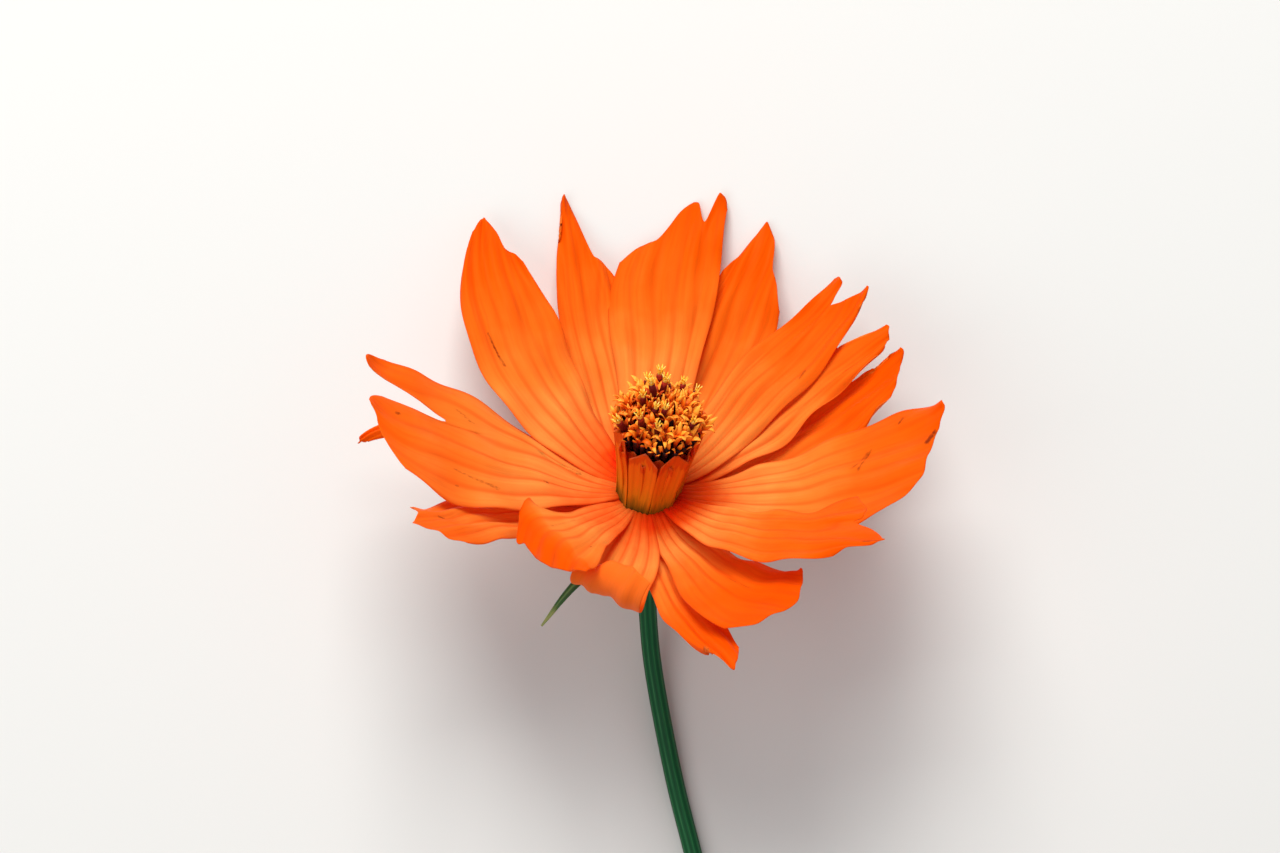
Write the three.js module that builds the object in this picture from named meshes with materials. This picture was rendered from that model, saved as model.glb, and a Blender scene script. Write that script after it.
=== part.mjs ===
// Sulphur cosmos: one open semi-double head on its cut stem, lying on a flat surface.
// The head's own frame has its origin in the middle of the ring of petal bases and +Z out of the face.
// It is tilted back until the rear petals rest on the surface. Millimetres, degrees, +Z up.

import * as THREE from "three";

const { degToRad, clamp, lerp } = THREE.MathUtils;

// Driving dimensions
const AXIS_TILT = 42; // head axis above the surface
const RING_CENTRE = new THREE.Vector3(-0.7, 19, 14.15); // middle of the ring of petal bases
const SEAT_GAP = 0.3; // clearance between pieces that touch
const RECEPTACLE_RADIUS = 2.9;
const BLADE_RADIUS = RECEPTACLE_RADIUS + SEAT_GAP + 0.1; // where petals and inner bracts start
const RECEPTACLE_FOOT = -7.5; // height of the stem joint below the ring
const RECEPTACLE_TOP = 1.2;
const PETAL_THICKNESS = 0.35;
const BRACT_THICKNESS = 0.35;
const SCALE_THICKNESS = 0.3;
const STEM_RADIUS = 0.95;
const COLUMN_LEAN = 7; // the column of florets leans to the right
const COLUMN_FOOT = RECEPTACLE_TOP + SEAT_GAP + 0.2;
const COLUMN_TOP = 9.2; // height of the scale tips
const DISC_TOP = 13.4; // height of the florets' dome

// Petals. seat: compass place on the ring, counted from the right, counter-clockwise seen from the face.
// level: height of the base. heading, rise, bank: course of the midrib, at even steps along the length.
// left, right: width on each side of the midrib, at even steps. end: [place across, reach as a share of the
// length] for teeth and clefts. curls: the blade beyond a line is rolled on a cylinder, up where turn is
// positive and back where it is negative; the line passes through at = [across, along].
const PETALS = {
  petal_back_left: {
    seat: 135, level: 0.6, length: 34, heading: [142, 133, 121, 107, 90], rise: [22, 28, 27, 20, 15],
    left: [1.1, 3, 4.7, 5.4, 5.1, 3.9, 1.8], right: [1.1, 2.2, 3.2, 4.2, 4.8, 4.5, 3.3],
    end: [
      [-1, 0.81], [-0.8, 0.86], [-0.5, 0.88], [-0.36, 0.935], [-0.15, 0.97], [0.1, 1], [0.4, 0.98],
      [0.83, 0.945], [1, 0.905],
    ],
  },
  petal_back_left_rear: {
    seat: 110, level: -0.6, length: 33.2, heading: [106, 103, 101, 105, 111], rise: [19, 27, 29, 28, 24],
    left: [1.2, 2.4, 3.4, 4.1, 4.1, 3.2, 1], right: [1.2, 2, 2.6, 2.8, 2.9, 3, 2.5],
    end: [[-1, 0.705], [-0.6, 0.76], [-0.3, 0.78], [-0.16, 0.85], [0, 0.96], [0.4, 1], [0.8, 0.99], [1, 0.945]],
  },
  petal_back: {
    seat: 83, level: 0.6, length: 33.2, heading: [85, 85, 83, 77, 66], rise: [24, 29, 25, 21, 27],
    left: [1.2, 2.5, 3.6, 4.6, 5.6, 6.2, 5.7], right: [1.2, 2.4, 3.6, 4.6, 5.1, 4.6, 3.8],
    end: [
      [-1, 0.95], [-0.88, 0.99], [-0.66, 1], [-0.58, 0.88], [-0.44, 0.895], [-0.2, 0.95], [0, 0.945],
      [0.16, 0.91], [0.32, 0.835], [0.42, 0.79], [0.74, 0.76], [1, 0.695],
    ],
  },
  petal_back_right_rear: {
    seat: 62, level: -0.6, length: 32, heading: [64, 64, 66, 70, 74], rise: [18, 24, 28, 24, 17],
    bank: [0, 8, 10, 4, 0],
    left: [1.2, 2.4, 3.4, 4.2, 4.6, 4.2, 3.1], right: [1.2, 2.2, 3.2, 4, 4.5, 4.6, 4],
    end: [[-1, 0.7], [-0.7, 0.79], [-0.45, 0.84], [-0.3, 0.94], [0.05, 1], [0.3, 0.935], [0.65, 0.855], [1, 0.79]],
  },
  petal_right_cleft: {
    seat: 41, level: 0.6, length: 29.5, heading: [40, 42, 42, 42, 44], rise: [22, 26, 26, 24, 22],
    bank: [0, 6, 6, 2, 0],
    left: [1.2, 2.2, 3.1, 3.8, 3.4, 2.5, 2.5], right: [1.2, 2.4, 3.2, 3.7, 4.1, 3.6, 2.2],
    end: [
      [-1, 0.915], [-0.75, 0.99], [-0.55, 0.985], [-0.2, 0.91], [0.2, 0.85], [0.4, 0.9], [0.5, 0.95],
      [0.85, 0.96], [1, 0.945],
    ],
  },
  petal_right_narrow: {
    seat: 29.5, level: 0, length: 28.2, heading: [28, 27, 26, 27, 27], rise: [16, 22, 26, 26, 24],
    bank: [0, 4, 6, 4, 0],
    left: [1.2, 1.9, 2.8, 3.5, 3.8, 3.6, 2.1], right: [0.9, 1.3, 2.2, 2.8, 1.9, 1.5, 0.9],
    end: [[-1, 0.89], [-0.7, 0.94], [0, 0.97], [0.5, 1], [0.76, 0.99], [0.86, 0.93], [1, 0.87]],
  },
  petal_right_rear: {
    seat: 18, level: -0.6, length: 28.8, heading: [18, 18, 18, 19, 22], rise: [6, 14, 24, 32, 36],
    left: [1.2, 2.3, 3.2, 3.9, 4.4, 4.5, 3.8], right: [1.2, 2.2, 3.1, 3.8, 4.1, 3.4, 2],
    end: [[-1, 0.78], [-0.55, 0.86], [-0.2, 0.9], [0.4, 0.95], [0.56, 1], [0.74, 0.99], [0.79, 0.87], [1, 0.81]],
  },
  petal_right_broad: {
    seat: 0, level: 0.54, length: 31.6, heading: [-12, -11, -9, -1, 16], rise: [8, 15, 22.5, 27, 28],
    bank: [0, 8, 10, 4, 0],
    left: [1.1, 2.6, 4, 5.5, 6.8, 7.1, 5.9], right: [1.1, 2.3, 3.9, 5.4, 6.4, 6.6, 5.9],
    end: [
      [-1, 0.715], [-0.85, 0.78], [-0.5, 0.845], [0.05, 0.89], [0.3, 0.92], [0.52, 0.965], [0.6, 1],
      [0.8, 1], [1, 0.96],
    ],
  },
  petal_front_right: {
    seat: -33, level: 0.9, length: 30.6, heading: [-50, -47, -36, -31, -36], rise: [14, 22, 25, 23, 20],
    bank: [0, 6, 8, 4, 0],
    left: [1.2, 2, 2.7, 3.1, 3.4, 4, 5.9], right: [1.2, 2.1, 3, 3.8, 4.1, 4.1, 2.8],
    end: [
      [-1, 0.81], [-0.7, 0.87], [-0.4, 0.96], [-0.1, 1], [0.1, 0.95], [0.28, 0.88], [0.36, 0.79],
      [0.45, 0.835], [0.7, 0.83], [1, 0.755],
    ],
  },
  petal_front_drooping: {
    seat: -62, level: -0.1, length: 25, heading: [-70, -66, -59, -46, -28], rise: [0, 8, 14, 20, 26],
    left: [1.2, 2.6, 4, 5, 5.8, 6.8, 6.4], right: [1.2, 1.7, 2.2, 3.1, 4, 4.8, 4.8],
    end: [[-1, 0.795], [-0.7, 0.9], [-0.25, 0.97], [0.1, 1], [0.5, 0.97], [0.88, 0.91], [1, 0.84]],
  },
  petal_front_narrow: {
    seat: -82, level: -0.8, length: 26.6, heading: [-83, -77, -70, -65, -63], rise: [-2, 4, 8, 12, 16],
    left: [1.1, 1.7, 2.1, 2.4, 2.6, 2.6, 2.2], right: [1.1, 1.6, 2, 2.2, 2.4, 2, 1],
    end: [[-1, 0.84], [-0.5, 0.93], [0, 1], [0.5, 0.95], [1, 0.87]],
  },
  petal_front_curled: {
    seat: -103, level: 0.1, length: 22, heading: [-104, -104, -103, -102], rise: [2, 7, 8, 12],
    left: [1.2, 2.6, 3.6, 3.8, 4, 3.9, 3.4], right: [1.2, 1.6, 2, 2.3, 2.6, 2.9, 2.6],
    end: [[-1, 0.66], [-0.4, 0.84], [0, 0.95], [1, 1]],
    curls: [{ at: [0, 13], toward: 8, radius: 1.9, turn: 270 }],
  },
  petal_front_left_cupped: {
    seat: -137, level: 0.6, length: 17, heading: [-130, -128, -128, -128], rise: [12, 25, 28, 26],
    left: [1.2, 2, 2.9, 4, 5.2, 6.1, 5.8], right: [1.1, 2.3, 2.9, 3.3, 4.4, 6.4, 6.6],
    end: [[-1, 0.56], [-0.7, 0.8], [-0.5, 0.88], [-0.4, 0.86], [-0.2, 0.98], [0.3, 1], [1, 0.95]],
    curls: [
      { at: [-0.6, 11.6], toward: -28, radius: 1.6, turn: -70 },
      { at: [-5.2, 8.4], toward: -80, radius: 1.6, turn: 60 },
    ],
  },
  petal_left_rear: {
    seat: -162, level: -0.7, length: 28.6, heading: [-164, -159, -145, -133, -140],
    rise: [2, 15, 28, 33, 30],
    left: [1.1, 1.6, 2, 2.5, 3.6, 4.6, 4.9], right: [1.1, 2, 2.9, 3.6, 3.8, 3.2, 3.3],
    end: [[-1, 0.85], [-0.36, 0.9], [-0.12, 0.94], [0.08, 0.98], [0.4, 0.93], [0.8, 0.89], [1, 0.84]],
  },
  petal_left_cleft: {
    seat: 174, level: 0.75, length: 30.6, heading: [180, 181, 180, 176, 173], rise: [12, 22, 28, 32, 32],
    bank: [0, -4, -6, -2, 0],
    left: [1.1, 2.5, 4.2, 6.3, 7.5, 8.2, 6.7], right: [1.1, 2.8, 5.3, 6.9, 7.9, 7.4, 7],
    end: [
      [-1, 0.895], [-0.87, 0.97], [-0.75, 0.99], [-0.6, 0.95], [-0.55, 0.78], [-0.4, 0.57], [-0.3, 0.87],
      [-0.1, 0.93], [0.1, 0.94], [0.24, 0.895], [0.7, 0.825], [1, 0.755],
    ],
  },
  petal_left_recurved: {
    seat: 179, level: -0.3, length: 29, heading: [173, 171, 170, 176, 200], rise: [6, 19, 28, 14, -40],
    left: [1.1, 1.6, 2.2, 2.8, 2.4, 1.5, 0.5], right: [1.1, 1.6, 2.2, 2.8, 2.4, 1.5, 0.5],
    end: [[-1, 0.96], [0, 1], [1, 0.96]],
  },
};

// Outer bracts: thin green spreading fingers. The one under the cupped petal is the longest and hangs down.
const OUTER_BRACT_COUNT = 8;
const OUTER_BRACT_FIRST = -145;
const OUTER_BRACT_LEVEL = -5.3;
const OUTER_BRACT_RADIUS = 2.85;
const LONG_BRACT = { length: 12, rise: [-2, -20, -38, -46] };
const SHORT_BRACT = { length: 7.5, rise: [10, 4, 0, 4] };
const OUTER_BRACT_HALF = [0.5, 0.62, 0.55, 0.4, 0.15];

// Inner bracts: broader, membranous, cupping the underside of the petals
const INNER_BRACT_COUNT = 8;
const INNER_BRACT_LEVEL = -4.6;
const INNER_BRACT_LENGTH = 5.6;
const INNER_BRACT_RISE = [72, 62, 20, -6];
const INNER_BRACT_HALF = [0.8, 1.15, 1.3, 1.1, 0.35];

// Chaffy scales that sheathe the column of florets
const SCALE_COUNT = 8;
const SCALE_FIRST = -90;
const SCALE_HALF = [0.85, 1, 1.1, 0.9, 0.25];
const SCALE_CAMBER = 0.2;
const SCALE_FOOT_RADIUS = 2.65;
const SCALE_LEAN = 8;

// Outer row of disc florets
const FLORET_COUNT = 12;
const FLORET_SEAT_RADIUS = 4.5;
const FLORET_FOOT = 9.75;
const FLORET_LEAN = 14;
const FLORET_LENGTH = 3.3;

// Stem: x and y of its course from the ring's centre, where it lies along the surface
const STEM_COURSE = [
  [0.1, -12], [0.8, -18.7], [2.8, -29.1], [4.7, -36.7], [7.6, -48], [10, -59], [11.6, -70],
];
const STEM_SIDES = 8;
const STEM_STEPS = 30;

// A smooth value at a fraction of the way through evenly spaced values
function alongKnots(values, fraction) {
  const last = values.length - 1;
  const place = clamp(fraction, 0, 1) * last;
  const i = Math.min(Math.floor(place), last - 1);
  const k = place - i;
  const [b, c] = [values[i], values[i + 1]];
  const a = i > 0 ? values[i - 1] : 2 * b - c;
  const d = i + 2 <= last ? values[i + 2] : 2 * c - b;
  return b + 0.5 * k * (c - a + k * (2 * a - 5 * b + 4 * c - d + k * (3 * (b - c) + d - a)));
}

// How far a column of the blade reaches, as a share of the length
function reachAt(end, across) {
  const next = end.findIndex(([place]) => place >= across - 1e-9);
  if (next <= 0) return end[0][1];
  const [a, b] = [end[next - 1], end[next]];
  return lerp(a[1], b[1], (across - a[0]) / (b[0] - a[0]));
}

// The midrib as frames: a point, the way along, the way across (counter-clockwise) and the way up
function midrib(spec) {
  const steps = 48;
  const seat = degToRad(spec.seat);
  const point = new THREE.Vector3(spec.radius * Math.cos(seat), spec.radius * Math.sin(seat), spec.level);
  const frames = [];
  for (let i = 0; i <= steps; i += 1) {
    const f = i / steps;
    const heading = degToRad(alongKnots(spec.heading, f));
    const rise = degToRad(alongKnots(spec.rise, f));
    const bank = degToRad(alongKnots(spec.bank ?? [0, 0], f));
    const along = new THREE.Vector3(
      Math.cos(rise) * Math.cos(heading),
      Math.cos(rise) * Math.sin(heading),
      Math.sin(rise),
    );
    const across = new THREE.Vector3(-Math.sin(heading), Math.cos(heading), 0);
    across.applyAxisAngle(along, bank);
    const up = along.clone().cross(across);
    if (i > 0) {
      point.addScaledVector(frames[i - 1].along, spec.length / steps / 2);
      point.addScaledVector(along, spec.length / steps / 2);
    }
    frames.push({ point: point.clone(), along, across, up });
  }
  return frames;
}

// Rolls the part of a flat blade that lies beyond a line on a cylinder, up or back
function curl(flat, { at, toward, radius, turn }) {
  const direction = [Math.sin(degToRad(toward)), Math.cos(degToRad(toward))];
  const beyond = (flat.across - at[0]) * direction[0] + (flat.along - at[1]) * direction[1];
  if (beyond <= 0) return { across: 0, along: 0, up: 0 };
  const whole = degToRad(Math.abs(turn));
  const angle = Math.min(beyond / radius, whole);
  const straight = Math.max(beyond - radius * whole, 0);
  const shift = radius * Math.sin(angle) + straight * Math.cos(whole) - beyond;
  const lift = radius * (1 - Math.cos(angle)) + straight * Math.sin(whole);
  return { across: shift * direction[0], along: shift * direction[1], up: Math.sign(turn) * lift };
}

// A point of the blade, u of the way along it and t across it (-1 to 1)
function bladePoint(spec, frames, u, t) {
  const flat = {
    along: u * reachAt(spec.end, t) * spec.length,
    across: t * alongKnots((t > 0 ? spec.left : spec.right) ?? spec.half, u),
    up: (spec.camber ?? 0) * t * t * Math.sin((u * Math.PI) / 2),
  };
  const placed = { ...flat };
  for (const one of spec.curls ?? []) {
    const moved = curl(flat, one);
    placed.along += moved.along;
    placed.across += moved.across;
    placed.up += moved.up;
  }
  const last = frames.length - 1;
  const place = clamp((placed.along / spec.length) * last, 0, last);
  const i = Math.min(Math.floor(place), last - 1);
  const between = (name) => frames[i][name].clone().lerp(frames[i + 1][name], place - i);
  const beyond = placed.along - (place / last) * spec.length;
  return between("point")
    .addScaledVector(between("across"), placed.across)
    .addScaledVector(between("up"), placed.up)
    .addScaledVector(frames[place > 0 ? last : 0].along, beyond);
}

// Places across the blade for its columns of points: both edges, every tooth and cleft, and some between
function columnPlaces(end, widest) {
  const places = [end[0][0]];
  for (let i = 1; i < end.length; i += 1) {
    const [from, to] = [end[i - 1][0], end[i][0]];
    const count = Math.max(1, Math.ceil((to - from) / widest));
    for (let k = 1; k <= count; k += 1) places.push(lerp(from, to, k / count));
  }
  return places;
}

// A closed thin shell around the blade's middle surface
function bladeGeometry(spec, { rows, widest, thickness }) {
  const frames = midrib(spec);
  const places = columnPlaces(spec.end, widest);
  const columns = places.length;
  const middle = [];
  for (let i = 0; i <= rows; i += 1) {
    for (const t of places) middle.push(bladePoint(spec, frames, i / rows, t));
  }
  const at = (i, j) => middle[clamp(i, 0, rows) * columns + clamp(j, 0, columns - 1)];
  const top = [];
  const bottom = [];
  for (let i = 0; i <= rows; i += 1) {
    for (let j = 0; j < columns; j += 1) {
      const along = at(i + 1, j).clone().sub(at(i - 1, j));
      const across = at(i, j + 1).clone().sub(at(i, j - 1));
      const normal = along.cross(across).normalize();
      top.push(at(i, j).clone().addScaledVector(normal, thickness / 2));
      bottom.push(at(i, j).clone().addScaledVector(normal, -thickness / 2));
    }
  }
  const under = top.length;
  const faces = [];
  for (let i = 0; i < rows; i += 1) {
    for (let j = 0; j < columns - 1; j += 1) {
      const [a, b] = [i * columns + j, (i + 1) * columns + j];
      faces.push(a, b, b + 1, a, b + 1, a + 1);
      faces.push(under + a, under + b + 1, under + b, under + a, under + a + 1, under + b + 1);
    }
  }
  const rim = [];
  for (let j = 0; j < columns; j += 1) rim.push(j);
  for (let i = 1; i <= rows; i += 1) rim.push(i * columns + columns - 1);
  for (let j = columns - 2; j >= 0; j -= 1) rim.push(rows * columns + j);
  for (let i = rows - 1; i > 0; i -= 1) rim.push(i * columns);
  rim.forEach((a, k) => {
    const b = rim[(k + 1) % rim.length];
    faces.push(a, b, under + b, a, under + b, under + a);
  });
  const geometry = new THREE.BufferGeometry().setFromPoints([...top, ...bottom]);
  geometry.setIndex(faces);
  geometry.computeVertexNormals();
  return geometry;
}

// A lathe turned about the head's own axis, which is +Z
function turned(outline, sides) {
  const points = outline.map(([radius, height]) => new THREE.Vector2(radius, height));
  return new THREE.LatheGeometry(points, sides).rotateX(Math.PI / 2);
}

const finish = (color, roughness) => new THREE.MeshStandardMaterial({ color, roughness, metalness: 0 });
const model = new THREE.Group();
const head = new THREE.Group();
head.position.copy(RING_CENTRE);
head.rotation.x = -degToRad(90 - AXIS_TILT);
model.add(head);

function addMesh(parent, name, geometry, material) {
  const mesh = new THREE.Mesh(geometry, material);
  mesh.name = name;
  parent.add(mesh);
  return mesh;
}

// Receptacle: the solid green cushion that carries everything else
const receptacleOutline = [
  [0, RECEPTACLE_FOOT], [1.15, RECEPTACLE_FOOT], [1.5, -6.6], [2.3, -5.6], [2.75, -4.6],
  [RECEPTACLE_RADIUS, -3], [RECEPTACLE_RADIUS, 0.7], [2.5, RECEPTACLE_TOP], [0, RECEPTACLE_TOP],
];
addMesh(head, "receptacle", turned(receptacleOutline, 20), finish(0x2f6b2c, 0.6));

// Petals
const petalFinish = { rows: 16, widest: 0.36, thickness: PETAL_THICKNESS };
for (const [name, spec] of Object.entries(PETALS)) {
  const geometry = bladeGeometry({ ...spec, radius: BLADE_RADIUS }, petalFinish);
  addMesh(head, name, geometry, finish(0xfc6a12, 0.55));
}

// Outer bracts
for (let i = 0; i < OUTER_BRACT_COUNT; i += 1) {
  const seat = OUTER_BRACT_FIRST + (i * 360) / OUTER_BRACT_COUNT;
  const spec = {
    ...(i === 0 ? LONG_BRACT : SHORT_BRACT),
    seat, level: OUTER_BRACT_LEVEL, radius: OUTER_BRACT_RADIUS, heading: [seat, seat],
    half: OUTER_BRACT_HALF, end: [[-1, 1], [1, 1]],
  };
  const geometry = bladeGeometry(spec, { rows: 6, widest: 1, thickness: BRACT_THICKNESS });
  addMesh(head, `outer_bract_${i + 1}`, geometry, finish(0x123f0c, 0.6));
}

// Inner bracts
for (let i = 0; i < INNER_BRACT_COUNT; i += 1) {
  const seat = OUTER_BRACT_FIRST + ((i + 0.5) * 360) / INNER_BRACT_COUNT;
  const spec = {
    seat, level: INNER_BRACT_LEVEL, radius: BLADE_RADIUS,
    length: INNER_BRACT_LENGTH, heading: [seat, seat], rise: INNER_BRACT_RISE,
    half: INNER_BRACT_HALF, end: [[-1, 1], [1, 1]],
  };
  const geometry = bladeGeometry(spec, { rows: 7, widest: 1, thickness: BRACT_THICKNESS });
  addMesh(head, `inner_bract_${i + 1}`, geometry, finish(0x7c6a1e, 0.6));
}

// The column leans a little from the head's axis
const column = new THREE.Group();
column.rotation.y = degToRad(COLUMN_LEAN);
head.add(column);

// Scales around the column
for (let i = 0; i < SCALE_COUNT; i += 1) {
  const seat = SCALE_FIRST + (i * 360) / SCALE_COUNT;
  const spec = {
    seat, level: COLUMN_FOOT, radius: SCALE_FOOT_RADIUS, length: COLUMN_TOP - COLUMN_FOOT,
    heading: [seat, seat], rise: [90 - SCALE_LEAN, 90 - SCALE_LEAN],
    half: SCALE_HALF, camber: SCALE_CAMBER, end: [[-1, 1], [0, 1], [1, 1]],
  };
  const geometry = bladeGeometry(spec, { rows: 5, widest: 1, thickness: SCALE_THICKNESS });
  addMesh(column, `column_scale_${i + 1}`, geometry, finish(0xe05a08, 0.5));
}

// Inner disc florets, packed so tightly that they act as one piece
const discOutline = [
  [0, COLUMN_FOOT], [1.9, COLUMN_FOOT], [2.9, COLUMN_TOP - 0.5],
  [3.7, COLUMN_TOP + 0.6], [3.7, DISC_TOP - 1.5], [2.6, DISC_TOP - 0.3], [0, DISC_TOP],
];
addMesh(column, "disc_florets_inner", turned(discOutline, 20), finish(0x8a3a10, 0.8));

// Outer row of disc florets: tube, dark anther sleeve and flared mouth
const floretOutline = [
  [0, 0], [0.22, 0], [0.3, 1.4], [0.5, 2.4],
  [0.62, FLORET_LENGTH - 0.25], [0.3, FLORET_LENGTH], [0, FLORET_LENGTH],
];
for (let i = 0; i < FLORET_COUNT; i += 1) {
  const seat = new THREE.Group();
  seat.rotation.z = degToRad((i * 360) / FLORET_COUNT);
  column.add(seat);
  const floret = addMesh(seat, `disc_floret_${i + 1}`, turned(floretOutline, 7), finish(0xd9781c, 0.7));
  floret.position.set(FLORET_SEAT_RADIUS, 0, FLORET_FOOT);
  floret.rotation.y = degToRad(FLORET_LEAN);
}

// Stem: bends out of the head's axis down to the surface, then lies along it
const neckTop = new THREE.Vector3(0, 0, RECEPTACLE_FOOT - SEAT_GAP);
neckTop.applyEuler(head.rotation).add(RING_CENTRE);
const neckRadius = (neckTop.z - STEM_RADIUS) / (1 - Math.cos(degToRad(AXIS_TILT)));
const touchdown = neckTop.y - neckRadius * Math.sin(degToRad(AXIS_TILT));
function stemHeight(y) {
  if (y <= touchdown) return STEM_RADIUS;
  return STEM_RADIUS + neckRadius - Math.sqrt(neckRadius ** 2 - (y - touchdown) ** 2);
}
const stemPoints = [neckTop];
for (const [x, y] of STEM_COURSE) {
  const row = RING_CENTRE.y + y;
  stemPoints.push(new THREE.Vector3(RING_CENTRE.x + x, row, stemHeight(row)));
}
const stemSection = new THREE.Shape();
stemSection.absarc(0, 0, STEM_RADIUS, 0, 2 * Math.PI);
const stemGeometry = new THREE.ExtrudeGeometry(stemSection, {
  extrudePath: new THREE.CatmullRomCurve3(stemPoints),
  steps: STEM_STEPS,
  curveSegments: STEM_SIDES,
});
addMesh(model, "stem", stemGeometry, finish(0x2c7a3a, 0.6));

export default model;
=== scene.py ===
import math

import bpy
import numpy as np
from mathutils import Matrix, Vector


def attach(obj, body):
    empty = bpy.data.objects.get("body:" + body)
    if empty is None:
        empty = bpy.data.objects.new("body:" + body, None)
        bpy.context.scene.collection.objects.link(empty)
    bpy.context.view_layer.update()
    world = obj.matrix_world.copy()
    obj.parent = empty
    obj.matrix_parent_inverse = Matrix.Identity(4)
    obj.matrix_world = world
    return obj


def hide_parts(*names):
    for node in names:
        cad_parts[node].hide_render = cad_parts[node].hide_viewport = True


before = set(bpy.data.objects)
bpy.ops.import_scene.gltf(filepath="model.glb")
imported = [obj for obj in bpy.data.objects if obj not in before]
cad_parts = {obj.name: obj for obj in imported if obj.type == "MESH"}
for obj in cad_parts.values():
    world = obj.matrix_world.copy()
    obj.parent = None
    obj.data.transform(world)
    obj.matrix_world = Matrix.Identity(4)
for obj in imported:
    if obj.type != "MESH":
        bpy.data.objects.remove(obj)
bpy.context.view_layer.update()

# ------------------------------------------------------------------ camera, floor and light
# The flower lies on a pale table, with its face leaning away from straight up. The camera hangs over the
# table with a long lens. A broad soft lamp stands beyond the head, on the side that it faces, and a weaker
# one fills the shade.
MM = 0.001
RING_HEIGHT = 14.15  # mm, middle of the ring of petals
VIEW_CENTRE = (-1.43, 26.64)  # mm
VIEW_WIDTH = 133.1  # mm across the frame at the height of the ring
LENS = 300
SENSOR = 36

camera_lens = bpy.data.cameras.new("camera")
camera_lens.lens, camera_lens.sensor_width = LENS, SENSOR
camera = bpy.data.objects.new("camera", camera_lens)
camera.location = Vector((*VIEW_CENTRE, RING_HEIGHT + LENS / SENSOR * VIEW_WIDTH)) * MM
bpy.context.collection.objects.link(camera)
bpy.context.scene.camera = camera
bpy.context.scene.view_settings.view_transform = "Standard"


def linear(colour):
    """An sRGB hex colour as linear red, green, blue and alpha."""
    shares = [int(colour[i : i + 2], 16) / 255 for i in (1, 3, 5)]
    return [c / 12.92 if c <= 0.04045 else ((c + 0.055) / 1.055) ** 2.4 for c in shares] + [1]


def add_node(tree, kind, links=None, stops=None, **settings):
    """A node with its settings. links gives its shown inputs, by name or number, a value, a node or a socket.
    stops are the places and colours of a ramp."""
    node = tree.nodes.new(kind)
    for name, value in settings.items():
        setattr(node, name, value)
    shown = [socket for socket in node.inputs if socket.enabled]
    for key, value in (links or {}).items():
        target = shown[key] if isinstance(key, int) else next(s for s in shown if s.name == key)
        if isinstance(value, bpy.types.Node):
            value = next(socket for socket in value.outputs if socket.enabled)
        if isinstance(value, bpy.types.NodeSocket):
            tree.links.new(value, target)
        else:
            target.default_value = value
    if stops:
        ramp = node.color_ramp
        ramp.elements[0].position, ramp.elements[1].position = stops[0][0], stops[-1][0]
        for place, _ in stops[1:-1]:
            ramp.elements.new(place)
        for element, (_, colour) in zip(ramp.elements, stops):
            element.color = linear(colour)
    return node


def new_material(name):
    material = bpy.data.materials.new(name)
    material.use_nodes = True
    material.node_tree.nodes.clear()
    return material, material.node_tree


# Matt painted board: an even pale grey that lets the colours of the flower read
board, tree = new_material("matt painted board")
surface = add_node(
    tree, "ShaderNodeBsdfPrincipled", {"Base Color": linear("#dcdad5"), "Roughness": 0.85, "IOR": 1.45}
)
add_node(tree, "ShaderNodeOutputMaterial", {"Surface": surface})
FLOOR_HALF = 3  # m
table_top = bpy.data.meshes.new("table_top")
table_top.from_pydata(
    [(x * FLOOR_HALF, y * FLOOR_HALF, 0) for x, y in ((-1, -1), (1, -1), (1, 1), (-1, 1))],
    [],
    [(0, 1, 2, 3)],
)
table_top.materials.append(board)
floor = bpy.data.objects.new("table_top", table_top)
bpy.context.collection.objects.link(floor)

world = bpy.data.worlds.new("studio")
bpy.context.scene.world = world
world.use_nodes = True
world.node_tree.nodes.clear()
sky = add_node(world.node_tree, "ShaderNodeBackground", {"Color": linear("#e6ebf2"), "Strength": 0.42})
add_node(world.node_tree, "ShaderNodeOutputWorld", {"Surface": sky})

# name: direction towards the lamp, distance and width in metres, watts
LAMPS = {
    "key": ((-0.12, 0.72, 0.68), 0.75, 0.42, 7.0),
    "fill": ((-0.5, -0.3, 0.8), 0.9, 0.7, 2.4),
}
for name, (direction, distance, width, watts) in LAMPS.items():
    lamp = bpy.data.lights.new(name, "AREA")
    lamp.size, lamp.energy = width, watts
    softbox = bpy.data.objects.new(name, lamp)
    towards = Vector(direction).normalized()
    softbox.location = Vector((*VIEW_CENTRE, RING_HEIGHT)) * MM + towards * distance
    softbox.rotation_euler = towards.to_track_quat("Z", "Y").to_euler()
    bpy.context.collection.objects.link(softbox)

# ------------------------------------------------------------------ receptacle
# The solid green cushion at the end of the stem, from which petals, bracts and florets grow.
# It is firm plant tissue with faint ribs that run up from the stem.
AXIS_TILT = 42  # degrees, head axis above the table
RING_CENTRE = Vector((-0.7, 19, RING_HEIGHT))
RECEPTACLE_RADIUS = 2.9
RECEPTACLE_FOOT = -7.5  # height of the stem joint below the ring
RECEPTACLE_OUTLINE = [
    (0, RECEPTACLE_FOOT), (0.9, RECEPTACLE_FOOT), (1.15, -7.42), (1.3, -7.1), (1.5, -6.6), (1.85, -6.1),
    (2.3, -5.6), (2.6, -5.1), (2.75, -4.6), (2.86, -3.8), (RECEPTACLE_RADIUS, -3), (RECEPTACLE_RADIUS, -1.2),
    (RECEPTACLE_RADIUS, 0.6), (2.78, 0.95), (2.5, 1.15), (1.6, 1.24), (0, 1.26),
]
RECEPTACLE_SIDES = 96
RECEPTACLE_RIBS = 16
RIB_SWELL = 0.012  # share of the radius

# the head's own frame, in millimetres with +Z out of the face, to the row's
head_frame = (
    Matrix.Translation(RING_CENTRE * MM)
    @ Matrix.Rotation(math.radians(AXIS_TILT - 90), 4, "X")
    @ Matrix.Scale(MM, 4)
)


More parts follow.
